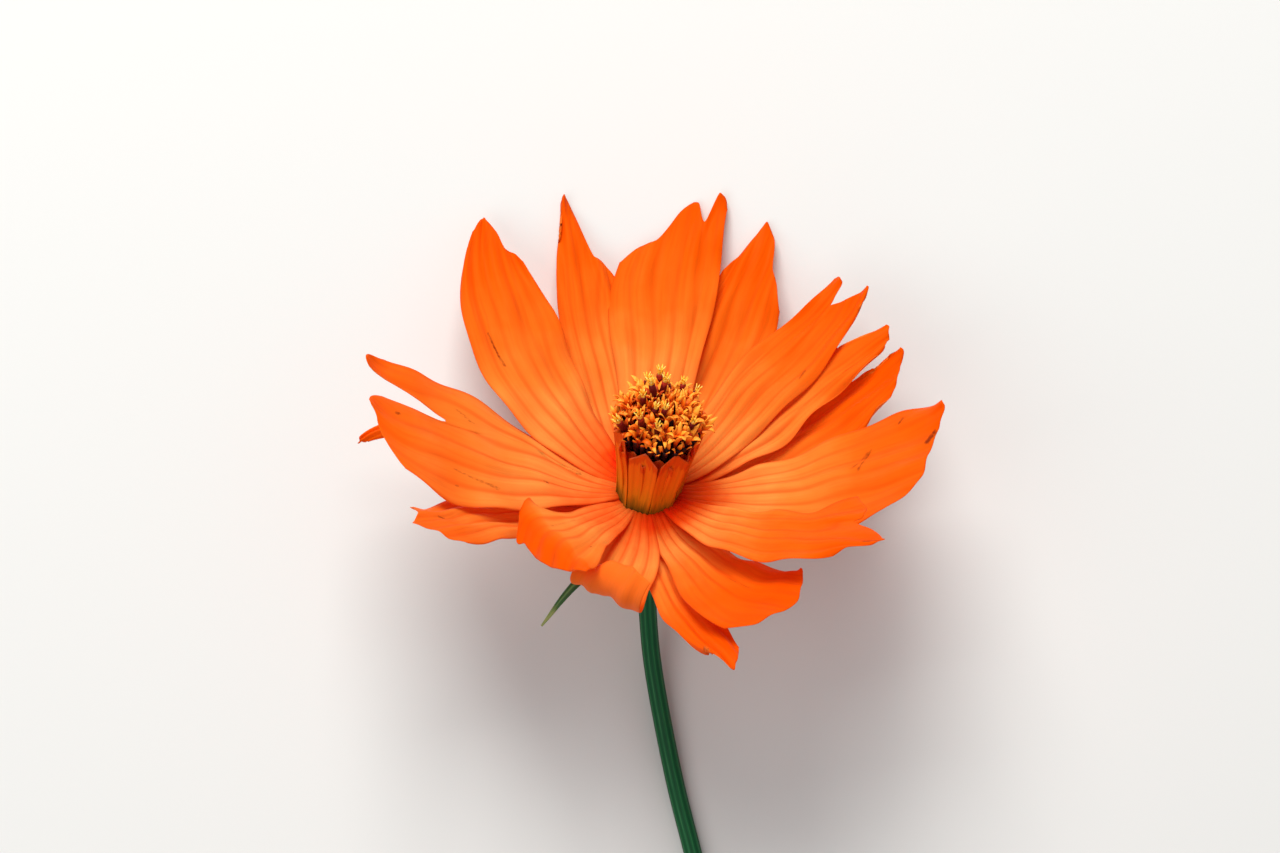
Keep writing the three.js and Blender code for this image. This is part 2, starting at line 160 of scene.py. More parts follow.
def lathe(outline, sides, ribs=0, depth=0.0):
    """Points and faces of a closed form turned about Z. Its ribs swell by depth, a share of the radius."""
    turn = np.arange(sides) * 2 * np.pi / sides
    swell = 1 + depth * np.cos(ribs * turn)
    inner = np.array(outline[1:-1], float)
    points = [(0, 0, outline[0][1])]
    for radius, height in inner:
        ring = np.stack([radius * swell * np.cos(turn), radius * swell * np.sin(turn), 0 * turn + height], 1)
        points += ring.tolist()
    points.append((0, 0, outline[-1][1]))
    last = len(points) - 1
    faces = []
    for i in range(sides):
        k = (i + 1) % sides
        faces.append((0, 1 + k, 1 + i))
        for row in range(len(inner) - 1):
            a, b = 1 + row * sides, 1 + (row + 1) * sides
            faces.append((a + i, a + k, b + k, b + i))
        faces.append((last - sides + i, last - sides + k, last))
    return np.array(points), faces


def new_piece(name, points, faces, material, place=head_frame, edges=()):
    """A smooth mesh object whose place is in its mesh."""
    mesh = bpy.data.meshes.new(name)
    mesh.from_pydata(np.asarray(points).tolist(), edges, [tuple(map(int, face)) for face in faces])
    mesh.polygons.foreach_set("use_smooth", [True] * len(mesh.polygons))
    mesh.transform(place)
    mesh.materials.append(material)
    piece = bpy.data.objects.new(name, mesh)
    bpy.context.collection.objects.link(piece)
    return piece


def stand_for(piece, slot, *nodes):
    """The piece rides with the flower, in the place of these CAD nodes."""
    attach(piece, "root")
    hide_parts(*nodes)


def ramp(tree, factor, *stops):
    """A colour for each value of factor, blended between the stops."""
    return add_node(tree, "ShaderNodeValToRGB", {"Fac": factor}, stops)


def noise(tree, scale, detail, roughness=0.5, place=None):
    """Noise with scale patches to a metre of the object, or to a unit of another place."""
    place = place or add_node(tree, "ShaderNodeTexCoord").outputs["Object"]
    values = {"Vector": place, "Scale": scale, "Detail": detail, "Roughness": roughness}
    return add_node(tree, "ShaderNodeTexNoise", values)


def finish(tree, colour, height, looks, strength=0.5, relief=0.05, through=0, glow=None):
    """Ends a tissue's material: its looks, over a bump of relief mm. through is the share of light that
    comes through it, tinted by glow or by its own colour."""
    bump = add_node(tree, "ShaderNodeBump", {"Strength": strength, "Distance": relief * MM, "Height": height})
    surface = add_node(tree, "ShaderNodeBsdfPrincipled", {"Base Color": colour, "Normal": bump, **looks})
    if through:
        behind = add_node(tree, "ShaderNodeBsdfTranslucent", {"Color": glow or colour, "Normal": bump})
        surface = add_node(tree, "ShaderNodeMixShader", {0: through, 1: surface, 2: behind})
    add_node(tree, "ShaderNodeOutputMaterial", {"Surface": surface})


# Green tissue: satin with a faint bloom, mottled in 1 mm patches from dark to yellowish green
flesh, tree = new_material("green receptacle tissue")
mottle = noise(tree, 900, 4, 0.6)
tint = ramp(tree, mottle, (0.3, "#0e2e12"), (0.55, "#1c4c20"), (0.75, "#3c6a2c"))
grain = noise(tree, 6000, 2)
finish(tree, tint, grain, {"Roughness": 0.5, "IOR": 1.42, "Sheen Weight": 0.1}, strength=0.4)

cushion = lathe(RECEPTACLE_OUTLINE, RECEPTACLE_SIDES, RECEPTACLE_RIBS, RIB_SWELL)
receptacle = new_piece("receptacle_tissue", *cushion, flesh)
stand_for(receptacle, "bract", "receptacle")

# ------------------------------------------------------------------ petals
# Sixteen ray florets in three close whorls: thin, soft, living tissue that grew from the ring. Each is
# pleated along its veins, strongest at the foot, and ends in blunt teeth or a cleft.
SEAT_GAP = 0.3
BLADE_RADIUS = RECEPTACLE_RADIUS + SEAT_GAP + 0.1  # where petals and inner bracts start
PETAL_THICKNESS = 0.24
PETAL_EDGE_LOSS = 0.65  # share of the thickness that is gone at the very edge
PETAL_ROWS = 96
PETAL_COLUMNS = 73
FOOT_SPREAD = [0.2, 0.35, 0.2, 0, 0, 0, 0]  # mm more on each side of a foot, so that no gap shows
FOOT_HEIGHT = 0.8  # where the feet meet the column, over the receptacle's shoulder
KNEE_LENGTH = 1.5  # mm of a foot that bends in to the column
KNEE_DRAW = 0.13  # share of the radius by which it is drawn in
KNEE_LEVELLING = 0.85  # share of the whorls' difference in level that it takes away

# seat, level, length, heading, rise, bank, left, right, end and curls give the blade as the solid model
# does, but for fuller outlines of petal_front_curled and petal_front_left_cupped and a slanting, tighter
# roll of the first. Here each blade also has:
# ribs: raised strips between veins. hooks: (place across, reach, lift) of a bent tooth, lift in mm.
# pale: share by which its deep orange starts later; on the front petals, which face the lamp, this is
# partly painted light. flare: share by which a curl widens for each mm along its crease. marks: (across,
# along, across, along, width, strength) of a dark bruise or fleck, from one place to another, along and width
# in mm.
PETALS = {
    "petal_back_left": dict(
        seat=135, level=0.6, length=34, heading=[142, 133, 121, 107, 90], rise=[22, 28, 27, 20, 15],
        left=[1.1, 3, 4.7, 5.4, 5.1, 3.9, 1.8], right=[1.1, 2.2, 3.2, 4.2, 4.8, 4.5, 3.3],
        end=[
            (-1, 0.81), (-0.8, 0.86), (-0.5, 0.88), (-0.36, 0.935), (-0.15, 0.97), (0.1, 1), (0.4, 0.98),
            (0.83, 0.945), (1, 0.905),
        ],
        ribs=5, hooks=[(0.3, 0.4, 0.5)],
        marks=[(0.54, 20.6, 0.51, 16.8, 0.13, 0.7)],
    ),
    "petal_back_left_rear": dict(
        seat=110, level=-0.6, length=33.2, heading=[106, 103, 101, 105, 111], rise=[19, 27, 29, 28, 24],
        left=[1.2, 2.4, 3.4, 4.1, 4.1, 3.2, 1], right=[1.2, 2, 2.6, 2.8, 2.9, 3, 2.5],
        end=[
            (-1, 0.705), (-0.6, 0.76), (-0.3, 0.78), (-0.16, 0.85), (0, 0.96), (0.4, 1), (0.8, 0.99),
            (1, 0.945),
        ],
        pale=0.15, ribs=5, hooks=[(0.6, 0.5, 0.9)],
    ),
    "petal_back": dict(
        seat=83, level=0.6, length=33.2, heading=[85, 85, 83, 77, 66], rise=[24, 29, 25, 21, 27],
        left=[1.2, 2.5, 3.6, 4.6, 5.6, 6.2, 5.7], right=[1.2, 2.4, 3.6, 4.6, 5.1, 4.6, 3.8],
        end=[
            (-1, 0.95), (-0.88, 0.99), (-0.66, 1), (-0.58, 0.88), (-0.44, 0.895), (-0.2, 0.95), (0, 0.945),
            (0.16, 0.91), (0.32, 0.835), (0.42, 0.79), (0.74, 0.76), (1, 0.695),
        ],
        ribs=5, hooks=[(-0.7, 0.3, 0.7), (-0.1, 0.2, 0.4)],
    ),
    "petal_back_right_rear": dict(
        seat=62, level=-0.6, length=32, heading=[64, 64, 66, 70, 74], rise=[18, 24, 28, 24, 17],
        bank=[0, 8, 10, 4, 0], left=[1.2, 2.4, 3.4, 4.2, 4.6, 4.2, 3.1],
        right=[1.2, 2.2, 3.2, 4, 4.5, 4.6, 4],
        end=[
            (-1, 0.7), (-0.7, 0.79), (-0.45, 0.84), (-0.3, 0.94), (0.05, 1), (0.3, 0.935), (0.65, 0.855),
            (1, 0.79),
        ],
        ribs=5, hooks=[(0.05, 0.4, 0.5)],
    ),
    "petal_right_cleft": dict(
        seat=41, level=0.6, length=29.5, heading=[40, 42, 42, 42, 44], rise=[22, 26, 26, 24, 22],
        bank=[0, 6, 6, 2, 0], left=[1.2, 2.2, 3.1, 3.8, 3.4, 2.5, 2.5],
        right=[1.2, 2.4, 3.2, 3.7, 4.1, 3.6, 2.2],
        end=[
            (-1, 0.915), (-0.75, 0.99), (-0.55, 0.985), (-0.2, 0.91), (0.2, 0.85), (0.4, 0.9), (0.5, 0.95),
            (0.85, 0.96), (1, 0.945),
        ],
        pale=0.1, ribs=5, hooks=[(0.7, 0.4, 0.6), (-0.65, 0.2, 0.4)],
        marks=[(-0.67, 18, -0.73, 17, 0.2, 0.5)],
    ),
    "petal_right_narrow": dict(
        seat=29.5, level=0, length=28.2, heading=[28, 27, 26, 27, 27], rise=[16, 22, 26, 26, 24],
        bank=[0, 4, 6, 4, 0], left=[1.2, 1.9, 2.8, 3.5, 3.8, 3.6, 2.1],
        right=[0.9, 1.3, 2.2, 2.8, 1.9, 1.5, 0.9],
        end=[(-1, 0.89), (-0.7, 0.94), (0, 0.97), (0.5, 1), (0.76, 0.99), (0.86, 0.93), (1, 0.87)],
        pale=0.2, ribs=4, hooks=[(0.6, 0.5, 0.5)],
    ),
    "petal_right_rear": dict(
        seat=18, level=-0.6, length=28.8, heading=[18, 18, 18, 19, 22], rise=[6, 14, 24, 32, 36],
        left=[1.2, 2.3, 3.2, 3.9, 4.4, 4.5, 3.8], right=[1.2, 2.2, 3.1, 3.8, 4.1, 3.4, 2],
        end=[
            (-1, 0.78), (-0.55, 0.86), (-0.2, 0.9), (0.4, 0.95), (0.56, 1), (0.74, 0.99), (0.79, 0.87),
            (1, 0.81),
        ],
        ribs=5, hooks=[(0.65, 0.2, 1)],
    ),
    "petal_right_broad": dict(
        seat=0, level=0.54, length=31.6, heading=[-12, -11, -9, -1, 16], rise=[8, 15, 22.5, 27, 28],
        bank=[0, 8, 10, 4, 0], left=[1.1, 2.6, 4, 5.5, 6.8, 7.1, 5.9],
        right=[1.1, 2.3, 3.9, 5.4, 6.4, 6.6, 5.9],
        end=[
            (-1, 0.715), (-0.85, 0.78), (-0.5, 0.845), (0.05, 0.89), (0.3, 0.92), (0.52, 0.965), (0.6, 1),
            (0.8, 1), (1, 0.96),
        ],
        pale=0.1, ribs=6, hooks=[(0.7, 0.3, 1.2)],
        marks=[
            (0.47, 21, 0.13, 19.8, 0.3, 0.55), (0.46, 20.6, 0.2, 19.2, 0.3, 0.5),
            (0.75, 25, 0.82, 25.6, 0.25, 0.6), (0.36, 29, 0.22, 27.9, 0.35, 0.9),
        ],
    ),
    "petal_front_right": dict(
        seat=-33, level=0.9, length=30.6, heading=[-50, -47, -36, -31, -36], rise=[14, 22, 25, 23, 20],
        bank=[0, 6, 8, 4, 0], left=[1.2, 2, 2.7, 3.1, 3.4, 4, 5.9],
        right=[1.2, 2.1, 3, 3.8, 4.1, 4.1, 2.8],
        end=[
            (-1, 0.81), (-0.7, 0.87), (-0.4, 0.96), (-0.1, 1), (0.1, 0.95), (0.28, 0.88), (0.36, 0.79),
            (0.45, 0.835), (0.7, 0.83), (1, 0.755),
        ],
        ribs=5, hooks=[(-0.1, 0.3, 0.4), (0.8, 0.3, 0.5)], marks=[(-0.3, 28, -0.2, 30, 0.18, 0.7)],
    ),
    "petal_front_drooping": dict(
        seat=-62, level=-0.1, length=25, heading=[-70, -66, -59, -46, -28], rise=[0, 8, 14, 20, 26],
        left=[1.2, 2.6, 4, 5, 5.8, 6.8, 6.4], right=[1.2, 1.7, 2.2, 3.1, 4, 4.8, 4.8],
        end=[(-1, 0.795), (-0.7, 0.9), (-0.25, 0.97), (0.1, 1), (0.5, 0.97), (0.88, 0.91), (1, 0.84)],
        ribs=5, hooks=[(0.9, 0.3, 0.6)], marks=[(0.3, 13, 0.35, 17, 0.12, 0.35)],
    ),
    "petal_front_narrow": dict(
        seat=-82, level=-0.8, length=26.6, heading=[-83, -77, -70, -65, -63], rise=[-2, 4, 8, 12, 16],
        left=[1.1, 1.7, 2.1, 2.4, 2.6, 2.6, 2.2], right=[1.1, 1.6, 2, 2.2, 2.4, 2, 1],
        end=[(-1, 0.84), (-0.5, 0.93), (0, 1), (0.5, 0.95), (1, 0.87)],
        ribs=3, hooks=[(0, 0.8, -0.4)],
    ),
    "petal_front_curled": dict(
        seat=-103, level=0.1, length=22, heading=[-104, -104, -103, -102], rise=[2, 7, 8, 12],
        left=[1.2, 2.6, 3.6, 3.8, 4, 3.9, 3.4], right=[1.2, 2.1, 3.1, 3.5, 3.5, 4.2, 4.4],
        end=[(-1, 0.72), (-0.4, 0.86), (0, 0.95), (1, 1)],
        curls=[dict(at=(0, 13), toward=-20, radius=1.9, turn=290, flare=0.12)],
        pale=0.3, ribs=5,
    ),
    "petal_front_left_cupped": dict(
        seat=-137, level=0.6, length=17, heading=[-130, -128, -128, -128], rise=[12, 25, 28, 26],
        left=[1.2, 2, 2.9, 4.1, 5.5, 6.8, 7.4], right=[1.1, 2.3, 2.9, 3.3, 4.4, 6.4, 6.6],
        end=[
            (-1, 0.56), (-0.9, 0.67), (-0.78, 0.82), (-0.65, 0.83), (-0.58, 0.81), (-0.22, 0.91),
            (0.25, 0.98), (0.7, 1), (1, 1),
        ],
        curls=[
            dict(at=(-0.6, 11.6), toward=-28, radius=1.6, turn=-70),
            dict(at=(-5.2, 8.4), toward=-80, radius=1.6, turn=60),
        ],
        pale=0.55, ribs=5,
        marks=[
            (-0.3, 11, -0.39, 7, 0.2, 0.3), (-0.74, 9, -0.93, 5, 0.25, 0.25),
            (0.71, 11.2, 0.72, 11.4, 0.12, 0.8),
        ],
    ),
    "petal_left_rear": dict(
        seat=-162, level=-0.7, length=28.6, heading=[-164, -159, -145, -133, -140],
        rise=[2, 15, 28, 33, 30], left=[1.1, 1.6, 2, 2.5, 3.6, 4.6, 4.9],
        right=[1.1, 2, 2.9, 3.6, 3.8, 3.2, 3.3],
        end=[(-1, 0.85), (-0.36, 0.9), (-0.12, 0.94), (0.08, 0.98), (0.4, 0.93), (0.8, 0.89), (1, 0.84)],
        pale=0.35, ribs=5, marks=[(-0.19, 22.8, -0.12, 22.1, 0.16, 0.9)],
    ),
    "petal_left_cleft": dict(
        seat=174, level=0.75, length=30.6, heading=[180, 181, 180, 176, 173], rise=[12, 22, 28, 32, 32],
        bank=[0, -4, -6, -2, 0], left=[1.1, 2.5, 4.2, 6.3, 7.5, 8.2, 6.7],
        right=[1.1, 2.8, 5.3, 6.9, 7.9, 7.4, 7],
        end=[
            (-1, 0.895), (-0.87, 0.97), (-0.75, 0.99), (-0.6, 0.95), (-0.55, 0.78), (-0.4, 0.57),
            (-0.3, 0.87), (-0.1, 0.93), (0.1, 0.94), (0.24, 0.895), (0.7, 0.825), (1, 0.755),
        ],
        pale=0.3, ribs=6, hooks=[(-0.75, 0.3, 0.8), (0.1, 0.2, 0.6)],
        marks=[
            (0.44, 17.9, 0.6, 12.7, 0.18, 0.45), (-0.61, 18.5, -0.49, 16.3, 0.18, 0.45),
            (-0.04, 25.2, -0.05, 24.8, 0.16, 0.9), (0.2, 7.7, 0.26, 7.3, 0.14, 0.8),
            (0.68, 17.1, 0.7, 17.3, 0.14, 0.7),
        ],
    ),
    "petal_left_recurved": dict(
        seat=179, level=-0.3, length=29, heading=[173, 171, 170, 176, 200], rise=[6, 19, 28, 14, -40],
        left=[1.1, 1.6, 2.2, 2.8, 2.4, 1.5, 0.5], right=[1.1, 1.6, 2.2, 2.8, 2.4, 1.5, 0.5],
        end=[(-1, 0.96), (0, 1), (1, 0.96)],
        pale=0.3, ribs=3,
    ),
}


def along_knots(values, fraction):
    """A smooth value at a fraction of the way through evenly spaced values."""
    values = np.array([2 * values[0] - values[1], *values, 2 * values[-1] - values[-2]], float)
    place = np.clip(fraction, 0, 1) * (len(values) - 3)
    i = np.minimum(place.astype(int), len(values) - 4)
    k = place - i
    a, b, c, d = (values[i + n] for n in range(4))
    return b + 0.5 * k * (c - a + k * (2 * a - 5 * b + 4 * c - d + k * (3 * (b - c) + d - a)))


def half_width(shape, u, t):
    """Width of a blade on the side of the midrib that t is on, in mm."""
    if "half" in shape:
        return along_knots(shape["half"], u)
    return np.where(t > 0, along_knots(shape["left"], u), along_knots(shape["right"], u))


def past_crease(curl, across, along):
    """How far points of a flat blade lie past the line where it starts to curl and how far along that line,
    in mm, and the way it curls, across and along."""
    toward = math.radians(curl["toward"])
    side, on = math.sin(toward), math.cos(toward)
    x, y = across - curl["at"][0], along - curl["at"][1]
    return x * side + y * on, x * on - y * side, (side, on)


MIDRIB_STEPS = 96
TOOTH_ROUNDING = 0.04  # share of half the width over which teeth are rounded off


def blade(shape, u, t):
    """Points on a blade's middle surface, in mm, at shares u of its length and places t across it, and how
    far along the blade each lies."""
    u, t = np.meshgrid(u, t, indexing="ij")
    ends = np.array(shape["end"])
    shifts = (-TOOTH_ROUNDING, 0, TOOTH_ROUNDING)
    softened = [np.interp(np.clip(t + d, -1, 1), ends[:, 0], ends[:, 1]) for d in shifts]
    flat_along = u * np.mean(softened, 0) * shape["length"]
    flat_across = t * half_width(shape, u, t)
    along, across = flat_along, flat_across
    up = shape.get("camber", 0) * t**2 * np.sin(u * np.pi / 2)
    for curl in shape.get("curls", []):
        beyond, beside, (side, on) = past_crease(curl, flat_across, flat_along)
        radius = curl["radius"] * (1 + curl.get("flare", 0) * beside)
        whole = math.radians(abs(curl["turn"]))
        angle = np.clip(beyond / radius, 0, whole)
        straight = np.maximum(beyond - radius * whole, 0)
        shift = radius * np.sin(angle) + straight * math.cos(whole) - np.maximum(beyond, 0)
        lift = radius * (1 - np.cos(angle)) + straight * math.sin(whole)
        up = up + math.copysign(1, curl["turn"]) * lift
        across, along = across + shift * side, along + shift * on
    # the midrib as frames: a point, the way along, the way across and the way up
    steps = np.linspace(0, 1, MIDRIB_STEPS + 1)
    heading = np.radians(along_knots(shape["heading"], steps))
    rise = np.radians(along_knots(shape["rise"], steps))
    bank = np.radians(along_knots(shape.get("bank", [0, 0]), steps))[:, None]
    ahead = np.stack([np.cos(rise) * np.cos(heading), np.cos(rise) * np.sin(heading), np.sin(rise)], -1)
    level = np.stack([-np.sin(heading), np.cos(heading), 0 * heading], -1)
    over = np.cross(ahead, level)
    sideways = np.cos(bank) * level + np.sin(bank) * over
    over = np.cross(ahead, sideways)
    seat = math.radians(shape["seat"])
    start = np.array([shape["radius"] * math.cos(seat), shape["radius"] * math.sin(seat), shape["level"]])
    length = shape["length"]
    strides = (ahead[1:] + ahead[:-1]) / 2 * length / MIDRIB_STEPS
    midrib = start + np.vstack([0 * start, np.cumsum(strides, 0)])
    at = lambda track: np.stack([np.interp(along, steps * length, track[:, k]) for k in range(3)], -1)
    points = at(midrib) + across[..., None] * at(sideways) + up[..., None] * at(over)
    points += np.maximum(along - length, 0)[..., None] * ahead[-1]
    return points, flat_along


def normals_of(grid):
    normal = np.cross(np.gradient(grid, axis=0), np.gradient(grid, axis=1))
    return normal / (np.linalg.norm(normal, axis=-1, keepdims=True) + 1e-12)


def shell(middle, thickness):
    """Points and faces of a closed thin shell round a grid of points. thickness may vary over the grid."""
    rows, columns = middle.shape[:2]
    lift = normals_of(middle) * np.broadcast_to(thickness, (rows, columns))[..., None] / 2
    points = np.vstack([(middle + lift).reshape(-1, 3), (middle - lift).reshape(-1, 3)])
    under = rows * columns
    corner = (np.arange(rows - 1)[:, None] * columns + np.arange(columns - 1)).ravel()
    a, b, c, d = corner, corner + columns, corner + columns + 1, corner + 1
    faces = np.vstack([np.stack([a, b, c, d], 1), under + np.stack([a, d, c, b], 1)])
    rim = np.concatenate([
        np.arange(columns), np.arange(1, rows) * columns + columns - 1,
        (rows - 1) * columns + np.arange(columns - 2, -1, -1), np.arange(rows - 2, 0, -1) * columns,
    ])
    onward = np.roll(rim, -1)
    return points, np.vstack([faces, np.stack([rim, onward, under + onward, under + rim], 1)])


def add_values(piece, **values):
    """Number attributes on the piece's points, for its material to read."""
    for name, numbers in values.items():
        layer = piece.data.attributes.new(name, "FLOAT", "POINT")
        layer.data.foreach_set("value", np.asarray(numbers, np.float32).ravel())


def both_sides(upper, lower=None):
    """Values for a shell's points from a grid for its upper side and one for its lower side."""
    return np.concatenate([np.ravel(upper), np.ravel(upper if lower is None else lower)])


def add_uv(piece, x, y):
    """A UV map named blade from one pair of numbers for each point."""
    mesh = piece.data
    corners = np.zeros(len(mesh.loops), np.int32)
    mesh.loops.foreach_get("vertex_index", corners)
    pairs = np.stack([np.ravel(x), np.ravel(y)], 1)[corners]
    mesh.uv_layers.new(name="blade").data.foreach_set("uv", pairs.astype(np.float32).ravel())


def attribute(tree, name):
    return add_node(tree, "ShaderNodeAttribute", attribute_name=name).outputs["Fac"]


def blade_values(tree):
    """What a blade's points hold: place across and along it, share of its length and its own tone."""
    uv = add_node(tree, "ShaderNodeSeparateXYZ", {0: add_node(tree, "ShaderNodeUVMap", uv_map="blade")})
    return uv.outputs[0], uv.outputs[1], attribute(tree, "share"), attribute(tree, "tone")


def maths(tree, operation, *values):
    return add_node(tree, "ShaderNodeMath", dict(enumerate(values)), operation=operation)


def rescale(tree, value, from_range, to_range=(0.0, 1.0), **settings):
    """The value with one range stretched on to another and held at its ends."""
    keys = ("Value", "From Min", "From Max", "To Min", "To Max")
    return add_node(tree, "ShaderNodeMapRange", dict(zip(keys, (value, *from_range, *to_range))), **settings)


def mix(tree, factor, first, second, **settings):
    """One colour over another, each a node or a hex colour."""
    first, second = (linear(c) if isinstance(c, str) else c for c in (first, second))
    values = {"Factor": factor, "A": first, "B": second}
    return add_node(tree, "ShaderNodeMix", values, data_type="RGBA", **settings)


def fibre_noise(tree, across, along, detail=3, roughness=0.5, layer=0.0):
    """Noise drawn out into fibres. across and along are each a place and how finely it is divided."""
    values = {"X": maths(tree, "MULTIPLY", *across), "Y": maths(tree, "MULTIPLY", *along), "Z": layer}
    return noise(tree, 1, detail, roughness, add_node(tree, "ShaderNodeCombineXYZ", values))


# Living ray-floret tissue: satin and a little see-through. It is red-orange at the foot, which is painted
# shade where the feet crowd round the column, apricot past it, partly a painted highlight, and deep orange
# to the tip, with redder furrows along the veins, partly painted shade where they are deepest, fine fibres
# and dark flecks.
petal_tissue, tree = new_material("orange ray floret tissue")
vein_place, along_mm, share, tone = blade_values(tree)
patches = noise(tree, 160, 3, 0.55)  # 6 mm clouds
fibres = fibre_noise(tree, (vein_place, 5.0), (along_mm, 0.12), 3, 0.6)  # five to a rib, so that they show
shifted = maths(tree, "ADD", maths(tree, "MULTIPLY_ADD", patches, 0.3, share), tone)
# painted shade: the red-orange first stops, at the foot where the feet crowd round the column; painted
# highlight: part of the apricot past it
body = ramp(
    tree, shifted, (0.15, "#f83206"), (0.2, "#fd5e18"), (0.29, "#ff9440"), (0.38, "#ffa54a"),
    (0.52, "#ff9032"), (0.69, "#fd7818"), (0.86, "#fb6a06"), (1.05, "#fa6200"),
)
# the furrows are redder, most near the foot where the ribs are deepest: partly vein colour, partly painted
# shade
from_vein = maths(tree, "PINGPONG", vein_place, 0.5)  # 0.5 is the middle of a rib
furrow = rescale(tree, from_vein, (0.0, 0.24), (1.0, 0.0), interpolation_type="SMOOTHSTEP")
near_foot = rescale(tree, share, (0.05, 0.6), (0.65, 0.25))
veined_and_shaded = mix(tree, maths(tree, "MULTIPLY", furrow, near_foot), body, "#f24e02")
fibre_tint = ramp(tree, fibres, (0.25, "#e8dcd4"), (0.5, "#f8f4f0"), (0.75, "#ffffff"))
fibred = mix(tree, 0.8, veined_and_shaded, fibre_tint, blend_type="MULTIPLY")
backed = mix(tree, maths(tree, "MULTIPLY", attribute(tree, "under"), 0.45), fibred, "#ff9838")
crumbs = noise(tree, 2600, 2)
bruise = rescale(tree, maths(tree, "MULTIPLY", crumbs, attribute(tree, "mark")), (0.08, 0.4))
bruised = mix(tree, bruise, backed, "#98300a")
petal_looks = {
    "Roughness": rescale(tree, patches, (0.3, 0.7), (0.42, 0.56)), "IOR": 1.4, "Sheen Weight": 0.02,
    "Sheen Roughness": 0.5, "Sheen Tint": linear("#ffc890"), "Specular IOR Level": 0.25,
    "Specular Tint": linear("#ffa050"),
}
# light that comes through a petal is redder than light off it
glow = add_node(tree, "ShaderNodeGamma", {"Color": bruised, "Gamma": 1.15})
finish(tree, bruised, fibres, petal_looks, strength=0.35, relief=0.06, through=0.4, glow=glow)

RIB_DEPTH = 0.09  # share of a rib's width, at the foot
RIB_FADE = 13  # mm over which the ribs sink to RIB_REST of their depth
RIB_REST = 0.14
OPEN_FROM = 8  # mm from the foot at which the waves are full
# height in mm, radians from midrib to edge, radians a mm along
PETAL_WAVES = ((0.16, 2.2 * math.pi, 0.1), (0.08, 4.6 * math.pi, -0.16), (0.09, 2.5, 0.9))
EDGE_WAVE = 0.3  # mm high
EDGE_PITCH = 0.75  # radians a mm
TIP_SHARE = 0.1  # part of the length in which teeth bend
VEIN_DRIFT = 0.08  # share of a rib by which veins wander
VEIN_PITCH = 0.5  # radians a mm of that wandering
PETAL_TONES = (-0.05, 0.03)  # least and most shift of a whole petal along its ramp of colours


def petal_relief(shape, u, t, along, veins, width, random):
    """How far the fine blade stands off the smooth one, in mm: ribs between veins, broad pleats, wavy edges
    and bent teeth. veins counts the veins across the blade."""
    depth = RIB_DEPTH * width / shape["ribs"] * (np.exp(-((along / RIB_FADE) ** 2)) + RIB_REST)
    relief = -depth * np.cos(2 * np.pi * veins)
    open_part = np.clip(along / OPEN_FROM, 0, 1) ** 2
    phase = random.uniform(0, 2 * np.pi, 8)  # the first five are used
    for (height, across, onward), start in zip(PETAL_WAVES, phase):
        relief += open_part * height * np.sin(across * t + onward * along + start)
    edge = np.abs(t) ** 4
    relief += open_part * edge * EDGE_WAVE * np.sin(along * EDGE_PITCH + phase[3] + np.sign(t) * phase[4])
    for across, reach, lift in shape.get("hooks", []):
        near = np.clip(1 - np.abs(t - across) / reach, 0, 1)
        relief += lift * near * (np.clip(u - 1 + TIP_SHARE, 0, 1) / TIP_SHARE) ** 2
    return relief


def petal_marks(shape, t, along, width):
    """How dark each point of a petal is bruised, 0 to 1."""
    marks = np.zeros_like(along)
    for t0, from_mm, t1, to_mm, spread, strength in shape.get("marks", []):
        reach = np.clip((along - from_mm) / ((to_mm - from_mm) or 1), 0, 1)
        side = (t - (t0 + (t1 - t0) * reach)) * width / 2
        off = np.hypot(side, along - (from_mm + (to_mm - from_mm) * reach))
        marks = np.maximum(marks, strength * np.exp(-((off / spread) ** 2)))
    return marks


# painted shade: past a crease the flap bends away from the lamp, so its colour is run ahead to deeper orange
CREASE_SHADE = 0.65  # share of the petal's length that the colour runs ahead past a crease
CREASE_SHADE_BLEND = 1.8  # mm over which it does

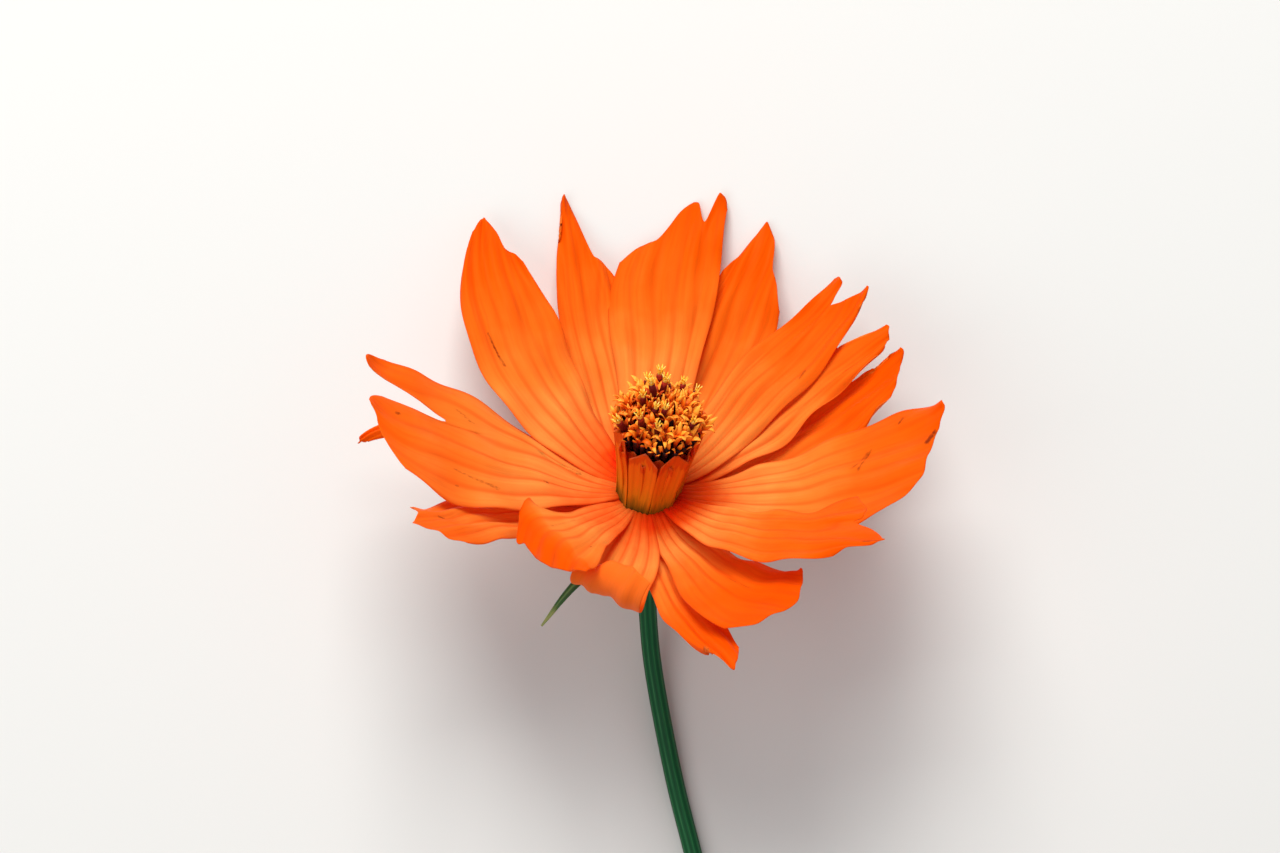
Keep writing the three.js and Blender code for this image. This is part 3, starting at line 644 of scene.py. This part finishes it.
places_across = np.linspace(-1, 1, PETAL_COLUMNS)
shares_along = np.linspace(0, 1, PETAL_ROWS + 1)
u, t = np.meshgrid(shares_along, places_across, indexing="ij")
for number, (name, shape) in enumerate(PETALS.items()):
    random = np.random.default_rng(number + 1)
    shape["radius"] = BLADE_RADIUS
    for side in ("left", "right"):
        shape[side] = [half + more for half, more in zip(shape[side], FOOT_SPREAD)]
    middle, along = blade(shape, shares_along, places_across)
    width = along_knots(shape["left"], u) + along_knots(shape["right"], u)
    across = t * half_width(shape, u, t)
    drift = VEIN_DRIFT * np.sin(along * VEIN_PITCH + random.uniform(0, 6)) * (1 - t**2)
    veins = (across + along_knots(shape["right"], u)) / width * shape["ribs"] + drift
    relief = petal_relief(shape, u, t, along, veins, width, random)
    middle = middle + normals_of(middle) * relief[..., None]
    # the foot bends up and in to the column, like a knee
    knee = np.exp(-((along / KNEE_LENGTH) ** 2))[..., None]
    middle[..., :2] *= 1 - KNEE_DRAW * knee
    middle[..., 2:] += (FOOT_HEIGHT - KNEE_LEVELLING * shape["level"]) * knee
    thickness = PETAL_THICKNESS * (1 - PETAL_EDGE_LOSS * np.maximum(np.abs(t) ** 8, u**16))
    piece = new_piece(f"{name}_tissue", *shell(middle, thickness), petal_tissue)
    # deep orange comes in towards the tip, held back on pale petals as partly painted light, and at once past
    # a crease as painted shade on the flap that bends away from the lamp
    ripeness_and_painted_light = along / shape["length"] * (1 - shape.get("pale", 0))
    for curl in shape.get("curls", [])[:1]:
        beyond = past_crease(curl, across, along)[0]
        ripeness_and_painted_light += CREASE_SHADE * np.clip(beyond / CREASE_SHADE_BLEND, 0, 1)
    add_uv(piece, both_sides(veins), both_sides(along))
    add_values(
        piece,
        share=both_sides(ripeness_and_painted_light),
        under=both_sides(0 * u, 0 * u + 1),
        mark=both_sides(petal_marks(shape, t, along, width)),
        tone=both_sides(0 * u + random.uniform(*PETAL_TONES)),
    )
    stand_for(piece, "petal", name)

# ------------------------------------------------------------------ outer bracts
# Eight narrow green fingers that spread from under the head. They are leaf tissue, grown from the
# receptacle; the one under the cupped petal is the longest and hangs down.
BRACT_COUNT = 8
BRACT_STEP = 2 * math.pi / BRACT_COUNT
BRACT_THICKNESS = 0.3
OUTER_BRACT_FIRST = -145  # degrees, seat of the long one
OUTER_BRACT = dict(
    level=-5.3, radius=2.85, half=[0.5, 0.66, 0.6, 0.48, 0.3, 0.05], camber=0.12, end=[(-1, 1), (1, 1)]
)
LONG_BRACT = dict(
    OUTER_BRACT, seat=OUTER_BRACT_FIRST, heading=[OUTER_BRACT_FIRST] * 2, length=12.2,
    rise=[-2, -20, -38, -46],
)
SHORT_BRACT = dict(OUTER_BRACT, seat=0, heading=[0, 0], length=7.6, rise=[10, 4, 0, 8])
BLADE_EDGE_LOSS = 0.6  # share of the thickness of a bract or scale that is gone at its edge

# Leaf tissue: a satin, waxy dark green with a paler keel and a yellowing tip
leaf, tree = new_material("dark green bract tissue")
across, along_mm, share, tone = blade_values(tree)
fibres = fibre_noise(tree, (across, 6.0), (along_mm, 0.5))
shifted = maths(tree, "ADD", maths(tree, "MULTIPLY_ADD", fibres, 0.25, share), tone)
green = ramp(tree, shifted, (0.1, "#1d4d1c"), (0.5, "#1a4415"), (0.9, "#2c5a1c"), (1.05, "#8f9a52"))
from_keel = rescale(tree, maths(tree, "ABSOLUTE", across), (0.0, 0.45))
finish(tree, mix(tree, from_keel, "#5f8a48", green), fibres, {"Roughness": 0.42, "IOR": 1.42})


def new_blade(name, shape, material, thickness, rows, columns):
    """A thin closed blade in the head's own millimetres, with the values that its material reads."""
    u, t = np.linspace(0, 1, rows + 1), np.linspace(-1, 1, columns)
    middle, along = blade(shape, u, t)
    u, t = np.meshgrid(u, t, indexing="ij")
    worn = thickness * (1 - BLADE_EDGE_LOSS * np.maximum(t**6, u**12))
    piece = new_piece(name, *shell(middle, worn), material, Matrix.Identity(4))
    add_uv(piece, both_sides(t), both_sides(along))
    add_values(piece, share=both_sides(u))
    return piece


def new_tree(name, inputs):
    """A geometry node tree, with its geometry and the named inputs as the outputs of its input node."""
    tree = bpy.data.node_groups.new(name, "GeometryNodeTree")
    tree.interface.new_socket("Geometry", in_out="OUTPUT", socket_type="NodeSocketGeometry")
    tree.interface.new_socket("Geometry", in_out="INPUT", socket_type="NodeSocketGeometry")
    for label, kind in inputs.items():
        tree.interface.new_socket(label, in_out="INPUT", socket_type=f"NodeSocket{kind}")
    return tree, tree.nodes.new("NodeGroupInput").outputs


def grow(piece, tree, values, place=head_frame):
    """Runs a tree on the piece's mesh and keeps the result as its plain mesh, in its place."""
    modifier = piece.modifiers.new("growth", "NODES")
    modifier.node_group = tree
    for socket in tree.interface.items_tree:
        if socket.in_out == "INPUT" and socket.name in values:
            modifier[socket.identifier] = values[socket.name]
    graph = bpy.context.evaluated_depsgraph_get()
    grown = bpy.data.meshes.new_from_object(piece.evaluated_get(graph))
    piece.modifiers.remove(modifier)
    grown.transform(place)
    piece.data = grown


def coat(tree, given, geometry):
    """Ends a tree: one mesh in the material that it is given."""
    solid = add_node(tree, "GeometryNodeRealizeInstances", {"Geometry": geometry})
    coated = add_node(tree, "GeometryNodeSetMaterial", {"Geometry": solid, "Material": given["Material"]})
    add_node(tree, "NodeGroupOutput", {"Geometry": coated})


def draw(tree, low, high, seed, kind="FLOAT", **by):
    """A chance value between low and high for each point or instance."""
    values = {"Min": low, "Max": high, "Seed": seed, **by}
    return add_node(tree, "FunctionNodeRandomValue", values, data_type=kind)


def vary(tree, given, instances, loose, shade, seeds, pivot=(0, 0, 0), **by):
    """Turns, sizes and tints each instance a little by chance. loose is its turn, shade its most change of
    tone, and seeds are those of its size and its tone."""
    about = {"Instances": instances, "Rotation": loose, "Pivot Point": pivot, "Local Space": True}
    turned = add_node(tree, "GeometryNodeRotateInstances", about)
    smallest = maths(tree, "SUBTRACT", 1.0, given["Size spread"])
    size = draw(tree, smallest, 1.0, seeds[0], **by)
    about = {"Instances": turned, "Scale": size, "Center": pivot, "Local Space": True}
    scaled = add_node(tree, "GeometryNodeScaleInstances", about)
    values = {"Geometry": scaled, "Name": "tone", "Value": draw(tree, -shade, shade, seeds[1], **by)}
    return add_node(tree, "GeometryNodeStoreNamedAttribute", values, domain="INSTANCE")


# The whorl: copies of one blade, turned round the head's axis and each a little different
whorl, given = new_tree(
    "whorl_of_blades",
    {
        "Count": "Int", "First seat": "Float", "Step": "Float", "Pivot": "Vector", "Loose": "Vector",
        "Size spread": "Float", "Seed": "Int", "Material": "Material",
    },
)
index = add_node(whorl, "GeometryNodeInputIndex")
points = add_node(whorl, "GeometryNodePoints", {"Count": given["Count"]})
seat = maths(whorl, "MULTIPLY_ADD", index, given["Step"], given["First seat"])
turn = add_node(whorl, "ShaderNodeCombineXYZ", {"Z": seat})
placed = add_node(
    whorl, "GeometryNodeInstanceOnPoints", {"Points": points, "Instance": given["Geometry"], "Rotation": turn}
)
backwards = add_node(whorl, "ShaderNodeVectorMath", {0: given["Loose"], "Scale": -1.0}, operation="SCALE")
loose = draw(whorl, backwards, given["Loose"], given["Seed"], "FLOAT_VECTOR", ID=index)
coat(whorl, given, vary(whorl, given, placed, loose, 0.08, (given["Seed"], 5), given["Pivot"], ID=index))


def grow_ring(piece, shape, count, step, first, loose, spread, seed, place=head_frame):
    """Turns the piece into a ring of copies. first and step are in radians, and each copy is turned about
    its foot by up to loose and is smaller by up to spread."""
    values = {
        "Count": count, "Step": step, "First seat": first, "Pivot": (shape["radius"], 0, shape["level"]),
        "Loose": loose, "Size spread": spread, "Seed": seed, "Material": piece.data.materials[0],
    }
    grow(piece, whorl, values, place)


long_bract = new_blade("outer_bract_long", LONG_BRACT, leaf, BRACT_THICKNESS, rows=28, columns=9)
long_bract.data.transform(head_frame)
stand_for(long_bract, "bract", "outer_bract_1")

short_bracts = new_blade("outer_bracts_short", SHORT_BRACT, leaf, BRACT_THICKNESS, rows=18, columns=9)
first = math.radians(OUTER_BRACT_FIRST) + BRACT_STEP
grow_ring(short_bracts, SHORT_BRACT, BRACT_COUNT - 1, BRACT_STEP, first, (0.15, 0.09, 0.1), 0.12, 3)
stand_for(short_bracts, "bract", *[f"outer_bract_{i + 2}" for i in range(BRACT_COUNT - 1)])

# ------------------------------------------------------------------ inner bracts
# Eight broader, papery bracts that cup the underside of the petals. They are thin membrane, grown
# edge to edge in a second ring inside the green ones.
INNER_BRACT = dict(
    seat=0, level=-4.6, radius=BLADE_RADIUS, length=5.7, heading=[0, 0], rise=[72, 62, 20, -6],
    half=[0.8, 1.15, 1.32, 1.1, 0.4], camber=-0.1, end=[(-1, 0.9), (0, 1), (1, 0.9)],
)

# Dry membrane: green at the foot and brownish yellow to brown above it, with darker lengthwise nerves and
# a paler margin; some light comes through
membrane, tree = new_material("papery bract membrane")
across, _, share, tone = blade_values(tree)
body = ramp(
    tree, maths(tree, "ADD", share, tone),
    (0.0, "#4f6a24"), (0.35, "#8a7a22"), (0.75, "#a8681c"), (1.0, "#7a3a12"),
)
nerves = maths(tree, "PINGPONG", maths(tree, "MULTIPLY", across, 3.5), 0.5)
nerved = mix(tree, rescale(tree, nerves, (0.0, 0.16), (0.6, 0.0)), body, "#5a3a10")
margin = rescale(tree, maths(tree, "ABSOLUTE", across), (0.7, 1.0), (0.0, 0.7))
edged = mix(tree, margin, nerved, "#d8b264")
finish(tree, edged, nerves, {"Roughness": 0.5, "IOR": 1.45}, strength=0.6, through=0.25)

inner_bracts = new_blade("inner_bracts", INNER_BRACT, membrane, BRACT_THICKNESS, rows=20, columns=13)
first = math.radians(OUTER_BRACT_FIRST) + BRACT_STEP / 2
grow_ring(inner_bracts, INNER_BRACT, BRACT_COUNT, BRACT_STEP, first, (0.03, 0.02, 0.04), 0.05, 4)
stand_for(inner_bracts, "inner_bract", *[f"inner_bract_{i + 1}" for i in range(BRACT_COUNT)])

# ------------------------------------------------------------------ column scales
# Chaffy scales stand round the column of florets and sheathe it. They are thin, pointed and
# overlap, an outer ring of eight over an inner one in its gaps.
COLUMN_LEAN = 7  # degrees to the right of the head's axis
SCALE_COUNT = 8
SCALE_FOOT = 0.2  # the outer scales clasp the receptacle's shoulder
SCALE_THICKNESS = 0.16
OUTER_SCALE = dict(
    seat=0, level=SCALE_FOOT, radius=3, length=11, heading=[0, 0], rise=[92, 88, 83, 79, 77],
    half=[1.3, 1.4, 1.55, 1.7, 1.75], camber=-0.45,
    end=[(-1, 0.86), (-0.5, 0.91), (0, 1), (0.5, 0.91), (1, 0.86)],
)
INNER_SCALE = dict(OUTER_SCALE, radius=2.7, level=1.3, length=8.6)
column_frame = head_frame @ Matrix.Rotation(math.radians(COLUMN_LEAN), 4, "Y")

# Chaff: a thin film with a dull gloss, dark green at the foot, amber above it and redder at the point,
# with faint rust-coloured nerves; light comes through it
chaff, tree = new_material("orange chaff")
across, along_mm, share, tone = blade_values(tree)
fibres = fibre_noise(tree, (across, 5.0), (along_mm, 0.4), 4, layer=maths(tree, "MULTIPLY", tone, 90.0))
shifted = maths(tree, "ADD", maths(tree, "MULTIPLY_ADD", fibres, 0.3, share), tone)
body = ramp(
    tree, shifted, (0.14, "#26380e"), (0.24, "#8a6a12"), (0.4, "#ea9818"), (0.6, "#fc9018"),
    (0.95, "#fe7e16"), (1.15, "#ee5a0c"),
)
nerves = maths(tree, "PINGPONG", maths(tree, "MULTIPLY", across, 1.5), 0.5)
nerved = mix(tree, rescale(tree, nerves, (0.0, 0.2), (0.18, 0.0)), body, "#9a3a08")
finish(tree, nerved, fibres, {"Roughness": 0.4, "IOR": 1.45}, through=0.3)

scale_step = 2 * math.pi / SCALE_COUNT
for name, shape, first in (
    ("column_scales_outer", OUTER_SCALE, -math.pi / 2 + scale_step / 2),
    ("column_scales_inner", INNER_SCALE, -math.pi / 2),
):
    scales = new_blade(name, shape, chaff, SCALE_THICKNESS, rows=22, columns=11)
    grow_ring(scales, shape, SCALE_COUNT, scale_step, first, (0.03, 0.015, 0.06), 0.12, 8, column_frame)
    stand_for(scales, "scale", *[f"column_scale_{i + 1}" for i in range(SCALE_COUNT)])

# ------------------------------------------------------------------ disc florets
# The crown of tiny tubular florets on top of the column: orange tubes with curled lobes, and in the open
# ones a dark red sleeve of anthers under pollen-laden points. They grow packed in a spiral, and a ring of
# dark tubes stands round its rim, near-black partly as painted shade under the crown.
DISC_COUNT = 78
RIM_FLORETS = 26
RIM_FOOT = dict(radius=3.1, level=8.4)  # of each rim floret
RIM_TURN = 22  # degrees that a rim floret leans out
SOLID_FLORETS = 12  # outer florets of the solid model
LOBE_THICKNESS = 0.09
DISC = {
    "Count": DISC_COUNT, "Disc radius": 3.7, "Crown height": 12.2, "Rim height": 9.8, "Rim lean": 0.42,
    "Size spread": 0.3, "Seed": 12,
}  # heights are those of the florets' feet, in mm, and the lean is in radians

# kinds of tissue: corolla, anther sleeve, pollen and stigma, the dark outside of a tube (partly painted
# shade)
COROLLA, ANTHER, POLLEN, SHADED_DARK = 0.0, 1.0, 2.0, 3.0


def lobe(seat, level, radius, length, rise, half, rows=5):
    """A small curled blade, as points and faces."""
    shape = dict(
        seat=seat, level=level, radius=radius, length=length, heading=[seat, seat], rise=rise, half=half,
        end=[(-1, 1), (1, 1)],
    )
    middle, _ = blade(shape, np.linspace(0, 1, rows + 1), np.linspace(-1, 1, 3))
    return shell(middle, LOBE_THICKNESS)


def lobes(level, radius, half, rows, kind, blades):
    """Parts of a floret. blades gives the (turn, length, rise) of each lobe."""
    return [(lobe(turn, level, radius, length, rise, half, rows), kind) for turn, length, rise in blades]


def new_floret(name, parts):
    """One floret from parts, each (points and faces, kind of tissue)."""
    points, faces, tissue = [], [], []
    for (part_points, part_faces), kind in parts:
        faces += [tuple(len(points) + int(i) for i in face) for face in part_faces]
        points += np.asarray(part_points).tolist()
        tissue += [kind] * len(part_points)
    piece = new_piece(name, points, faces, floret_tissue, Matrix.Identity(4))
    # share is the height within the floret; the material darkens low parts, partly as painted shade
    heights = np.array(points)[:, 2]
    add_values(piece, tissue=tissue, share=heights / heights.max())
    return piece


# Floret tissue: satin; tubes dark red at the foot and orange to amber at the lobes, dark red anthers,
# yellow pollen, and near-black outsides of the rim's tubes. Each floret darkens towards its foot, partly
# its own colour and partly painted shade down among the packed florets; the near-black is partly painted
# shade too.
floret_tissue, tree = new_material("disc floret tissue")
tissue, share, tone = (attribute(tree, name) for name in ("tissue", "share", "tone"))
grain = noise(tree, 4200, 3)  # 0.25 mm
shifted = maths(tree, "ADD", maths(tree, "MULTIPLY_ADD", grain, 0.3, share), tone)
# painted shade, in part: tubes and anthers darken towards each floret's foot, down among the packed florets
tint = ramp(tree, shifted, (0.4, "#4a0a04"), (0.66, "#c43c04"), (0.86, "#f8700a"), (1.2, "#ffa432"))
anther_tint = ramp(tree, shifted, (0.3, "#24060a"), (0.9, "#6a0a0a"), (1.15, "#a8240a"))
pollen_tint = ramp(tree, grain, (0.35, "#fca018"), (0.5, "#ffcc3c"), (0.65, "#ffec88"))
# painted shade, in part: the near-black of the rim's tubes and of the bed between the florets
shaded_dark_tint = ramp(tree, grain, (0.35, "#0c0306"), (0.65, "#3a0c0a"))
for kind, next_tint in ((ANTHER, anther_tint), (POLLEN, pollen_tint), (SHADED_DARK, shaded_dark_tint)):
    tint = mix(tree, maths(tree, "GREATER_THAN", tissue, kind - 0.5), tint, next_tint)
finish(tree, tint, grain, {"Roughness": 0.45, "IOR": 1.42, "Specular IOR Level": 0.25})

corolla_tube = lathe([(0, 0), (0.2, 0), (0.24, 0.9), (0.34, 1.6), (0.42, 1.95), (0.26, 1.7), (0, 1.5)], 10)
shaded_dark_tube = lathe([(0, 0), (0.26, 0), (0.32, 0.9), (0.38, 1.9), (0.42, 2.9), (0.28, 2.8), (0, 2.6)], 10)
anther_sleeve = lathe([(0, 1.3), (0.26, 1.3), (0.34, 1.8), (0.4, 3.2), (0.36, 3.9), (0.14, 4), (0, 4)], 8)
bud_outline = [(0, 0), (0.2, 0), (0.26, 0.9), (0.4, 1.7), (0.36, 2.2), (0.12, 2.65), (0, 2.7)]
fifths = [(i * 72, 1.3, [80, 60, 40, 20]) for i in range(5)]
sixths = [(i * 60, 1.2, [88, 78, 62]) for i in range(6)]
# an open floret: its pointed lobes spread round a tall dark sleeve with a burst of pollen-laden points
open_floret = new_floret(
    "open_floret",
    [(corolla_tube, COROLLA), (anther_sleeve, ANTHER)]
    + lobes(1.85, 0.4, [0.16, 0.26, 0.2, 0.02], 5, COROLLA, fifths)
    + lobes(3.8, 0.22, [0.13, 0.12, 0.02], 3, POLLEN, sixths),
)
# an older one: its lobes have withered into uneven flakes
flakes = (
    (0, 2.1, [88, 70, 50, 10]), (70, 1.6, [88, 80, 70, 60]), (150, 2, [85, 60, 0, -80]),
    (215, 1.7, [88, 84, 70, 40]), (290, 1.5, [80, 50, 10, -40]),
)
spent_floret = new_floret(
    "spent_floret",
    [(corolla_tube, COROLLA)] + lobes(1.8, 0.34, [0.18, 0.3, 0.24, 0.02], 6, COROLLA, flakes),
)
# a bud: a closed, five-ribbed tube with three points just parted
thirds = [(turn, 1.3, [90, 84, 60]) for turn in (20, 140, 260)]
bud_floret = new_floret(
    "bud_floret",
    [(lathe(bud_outline, 10, ribs=5, depth=0.14), COROLLA)]
    + lobes(2, 0.34, [0.18, 0.2, 0.02], 4, COROLLA, thirds),
)
# a floret of the rim: a dark tube, partly painted shade, with three uneven lobes
tatters = ((20, 0.9, [85, 70, 50]), (130, 1.5, [88, 80, 60]), (250, 1.2, [88, 60, 10]))
rim_floret = new_floret(
    "rim_floret", [(shaded_dark_tube, SHADED_DARK)] + lobes(2.75, 0.36, [0.22, 0.28, 0.2, 0.02], 6, COROLLA, tatters)
)

# The crown: florets on a spiral over a dome, picked by their place from the middle and by chance
crown, given = new_tree(
    "spiral_of_florets",
    {
        "Floret": "Object", "Count": "Int", "First": "Int", "Last": "Int", "Low": "Float", "High": "Float",
        "Disc radius": "Float", "Crown height": "Float", "Rim height": "Float", "Rim lean": "Float",
        "Size spread": "Float", "Seed": "Int", "Material": "Material",
    },
)
GOLDEN_ANGLE = math.pi * (3 - math.sqrt(5))
index = add_node(crown, "GeometryNodeInputIndex")
points = add_node(crown, "GeometryNodePoints", {"Count": given["Count"]})
angle = maths(crown, "MULTIPLY", index, GOLDEN_ANGLE)
area = maths(crown, "DIVIDE", maths(crown, "ADD", index, 0.5), given["Count"])  # share of it further in
share = maths(crown, "SQRT", area)
radius = maths(crown, "MULTIPLY", share, given["Disc radius"])
x, y = (maths(crown, "MULTIPLY", maths(crown, wave, angle), radius) for wave in ("COSINE", "SINE"))
z = rescale(crown, area, (0.0, 1.0), (given["Crown height"], given["Rim height"]))
position = add_node(crown, "ShaderNodeCombineXYZ", {"X": x, "Y": y, "Z": z})
spread = add_node(crown, "GeometryNodeSetPosition", {"Geometry": points, "Position": position})
chance = draw(crown, 0.0, 1.0, given["Seed"], ID=index)
tests = (
    (index, "First", "GREATER_EQUAL", "INT"), (index, "Last", "LESS_EQUAL", "INT"),
    (chance, "Low", "GREATER_EQUAL", "FLOAT"), (chance, "High", "LESS_THAN", "FLOAT"),
)
picked = True
for value, limit, operation, kind in tests:
    values = {0: value, 1: given[limit]}
    test = add_node(crown, "FunctionNodeCompare", values, data_type=kind, operation=operation)
    picked = add_node(crown, "FunctionNodeBooleanMath", {0: picked, 1: test}, operation="AND")
lean = maths(crown, "MULTIPLY", share, given["Rim lean"])
floret = add_node(crown, "GeometryNodeObjectInfo", {"Object": given["Floret"]})
turn = add_node(crown, "ShaderNodeCombineXYZ", {"Y": lean, "Z": angle})
placed = add_node(
    crown,
    "GeometryNodeInstanceOnPoints",
    {"Points": spread, "Selection": picked, "Instance": floret.outputs["Geometry"], "Rotation": turn},
)
jitter = draw(crown, (-0.26, -0.26, -3.0), (0.26, 0.26, 3.0), given["Seed"], "FLOAT_VECTOR")
coat(crown, given, vary(crown, given, placed, jitter, 0.15, (21, 22)))

BUDS = 13  # places of the spiral, from the middle, where the florets are still in bud
OPEN_SHARE = 0.17  # chance that a floret is open
florets_of = {
    "disc_florets_open": dict(Floret=open_floret, First=0, Last=DISC_COUNT, Low=0.0, High=OPEN_SHARE),
    "disc_florets_bud": dict(Floret=bud_floret, First=0, Last=BUDS - 1, Low=OPEN_SHARE, High=1.1),
    "disc_florets_spent": dict(Floret=spent_floret, First=BUDS, Last=DISC_COUNT, Low=OPEN_SHARE, High=1.1),
}
for name, chosen in florets_of.items():
    florets = new_piece(name, [(0, 0, 0)], [], floret_tissue, Matrix.Identity(4))
    grow(florets, crown, {**DISC, **chosen, "Material": floret_tissue}, column_frame)
    stand_for(florets, "floret", "disc_florets_inner")

rim_florets = rim_floret.copy()
rim_florets.data = rim_floret.data.copy()
rim_florets.name = "disc_florets_rim"
bpy.context.collection.objects.link(rim_florets)
rim_florets.data.transform(
    Matrix.Translation((RIM_FOOT["radius"], 0, RIM_FOOT["level"]))
    @ Matrix.Rotation(math.radians(RIM_TURN), 4, "Y")
)
rim_step = 2 * math.pi / RIM_FLORETS
grow_ring(rim_florets, RIM_FOOT, RIM_FLORETS, rim_step, 0.1, (0.12, 0.16, 0.1), 0.2, 6, column_frame)
stand_for(rim_florets, "floret", *[f"disc_floret_{i + 1}" for i in range(SOLID_FLORETS)])
for floret in (open_floret, spent_floret, bud_floret, rim_floret):
    bpy.data.objects.remove(floret)

# the bed that the florets stand in, near-black between their tubes: partly its own dark colour, partly
# painted shade down among them
BED_OUTLINE = [(0, 1.7), (1.9, 1.7), (2.2, 5), (2.9, 8.8), (3.3, 9.8), (3, 10.9), (1.8, 12), (0, 12.3)]
disc_bed = new_piece("disc_bed", *lathe(BED_OUTLINE, 40, ribs=13, depth=0.03), floret_tissue, column_frame)
every_point = np.ones(len(disc_bed.data.vertices))
add_values(disc_bed, tissue=SHADED_DARK * every_point, share=0.2 * every_point, tone=0 * every_point)
stand_for(disc_bed, "floret", "disc_florets_inner")

# ------------------------------------------------------------------ stem
# The cut stalk: it bends out of the head's axis down to the table and then lies along it. It is round,
# firm and green, with shallow ridges that run its whole length, and was cut square with a blade.
STEM_RADIUS = 0.95
STEM_RIDGES = 10
STEM_COURSE = [
    (0.1, -12), (0.8, -18.7), (2.8, -29.1), (4.7, -36.7), (7.6, -48), (10, -59), (11.6, -70),
]  # x and y from the ring's centre, in mm
STEM_RINGS = 160
STEM_SIDES = 40

tilt = math.radians(AXIS_TILT)
neck_top = RING_CENTRE + Vector((0, math.cos(tilt), math.sin(tilt))) * (RECEPTACLE_FOOT - SEAT_GAP)
neck_radius = (neck_top.z - STEM_RADIUS) / (1 - math.cos(tilt))
touchdown = neck_top.y - neck_radius * math.sin(tilt)


def stem_height(y):
    """Height of the stem's middle above the table, in mm."""
    if y <= touchdown:
        return STEM_RADIUS
    return STEM_RADIUS + neck_radius - math.sqrt(neck_radius**2 - (y - touchdown) ** 2)


course = [tuple(neck_top)] + [
    (RING_CENTRE.x + x, RING_CENTRE.y + y, stem_height(RING_CENTRE.y + y)) for x, y in STEM_COURSE
]

# Young stem: a cool deep green, paler along the ridges as if bloomed, with long fibres
stalk, tree = new_material("green stem tissue")
around, run = attribute(tree, "around"), attribute(tree, "run")
fibres = fibre_noise(tree, (around, 60.0), (run, 0.35))
ridge = maths(tree, "PINGPONG", maths(tree, "MULTIPLY", around, float(STEM_RIDGES)), 0.5)
shifted = maths(tree, "MULTIPLY_ADD", fibres, 0.5, ridge)
green = ramp(tree, shifted, (0.15, "#3c7c4a"), (0.4, "#125c32"), (0.75, "#053c20"))
mottle = noise(tree, 220, 3)  # 5 mm
mottled = mix(tree, maths(tree, "MULTIPLY", mottle, 0.5), green, "#14562a")
stalk_looks = {"Roughness": 0.5, "IOR": 1.42, "Specular IOR Level": 0.25}
finish(tree, mottled, fibres, stalk_looks, strength=0.4)

# The stalk: a ridged section carried along the course
sweep, given = new_tree(
    "ridged_stalk",
    {
        "Radius": "Float", "Ridges": "Int", "Ridge depth": "Float", "Rings": "Int", "Sides": "Int",
        "Neck swell": "Float", "Material": "Material",
    },
)
NECK_LENGTH = 5.0  # mm of stem that swells towards the receptacle
path = add_node(sweep, "GeometryNodeMeshToCurve", {"Mesh": given["Geometry"]})
path = add_node(sweep, "GeometryNodeCurveSplineType", {"Curve": path}, spline_type="CATMULL_ROM")
path = add_node(sweep, "GeometryNodeResampleCurve", {"Curve": path, "Count": given["Rings"]})
so_far = add_node(sweep, "GeometryNodeSplineParameter").outputs["Length"]
swell = rescale(
    sweep, so_far, (0.0, NECK_LENGTH), (given["Neck swell"], 1.0), interpolation_type="SMOOTHSTEP"
)
path = add_node(sweep, "GeometryNodeSetCurveRadius", {"Curve": path, "Radius": swell})
path = add_node(
    sweep, "GeometryNodeStoreNamedAttribute", {"Geometry": path, "Name": "run", "Value": so_far}
)
section = add_node(
    sweep, "GeometryNodeCurvePrimitiveCircle", {"Resolution": given["Sides"], "Radius": given["Radius"]}
)
turn_share = add_node(sweep, "GeometryNodeSplineParameter").outputs["Factor"]
ridge_turn = maths(sweep, "MULTIPLY", turn_share, maths(sweep, "MULTIPLY", given["Ridges"], 2 * math.pi))
wave = maths(sweep, "SUBTRACT", maths(sweep, "COSINE", ridge_turn), 1.0)
factor = maths(sweep, "MULTIPLY_ADD", wave, given["Ridge depth"], 1.0)
outline = add_node(
    sweep,
    "ShaderNodeVectorMath",
    {0: add_node(sweep, "GeometryNodeInputPosition"), "Scale": factor},
    operation="SCALE",
)
ridged = add_node(
    sweep, "GeometryNodeSetPosition", {"Geometry": section.outputs["Curve"], "Position": outline}
)
ridged = add_node(
    sweep, "GeometryNodeStoreNamedAttribute", {"Geometry": ridged, "Name": "around", "Value": turn_share}
)
skin = add_node(
    sweep, "GeometryNodeCurveToMesh", {"Curve": path, "Profile Curve": ridged, "Fill Caps": True}
)
coat(sweep, given, add_node(sweep, "GeometryNodeSetShadeSmooth", {"Geometry": skin}))

joints = [(i, i + 1) for i in range(len(course) - 1)]
stem = new_piece("stem_stalk", course, [], stalk, Matrix.Identity(4), joints)
grow(
    stem,
    sweep,
    {
        "Radius": STEM_RADIUS, "Ridges": STEM_RIDGES, "Ridge depth": 0.03, "Rings": STEM_RINGS,
        "Sides": STEM_SIDES, "Neck swell": 1.04, "Material": stalk,
    },
    Matrix.Scale(MM, 4),
)
stand_for(stem, "stem", "stem")
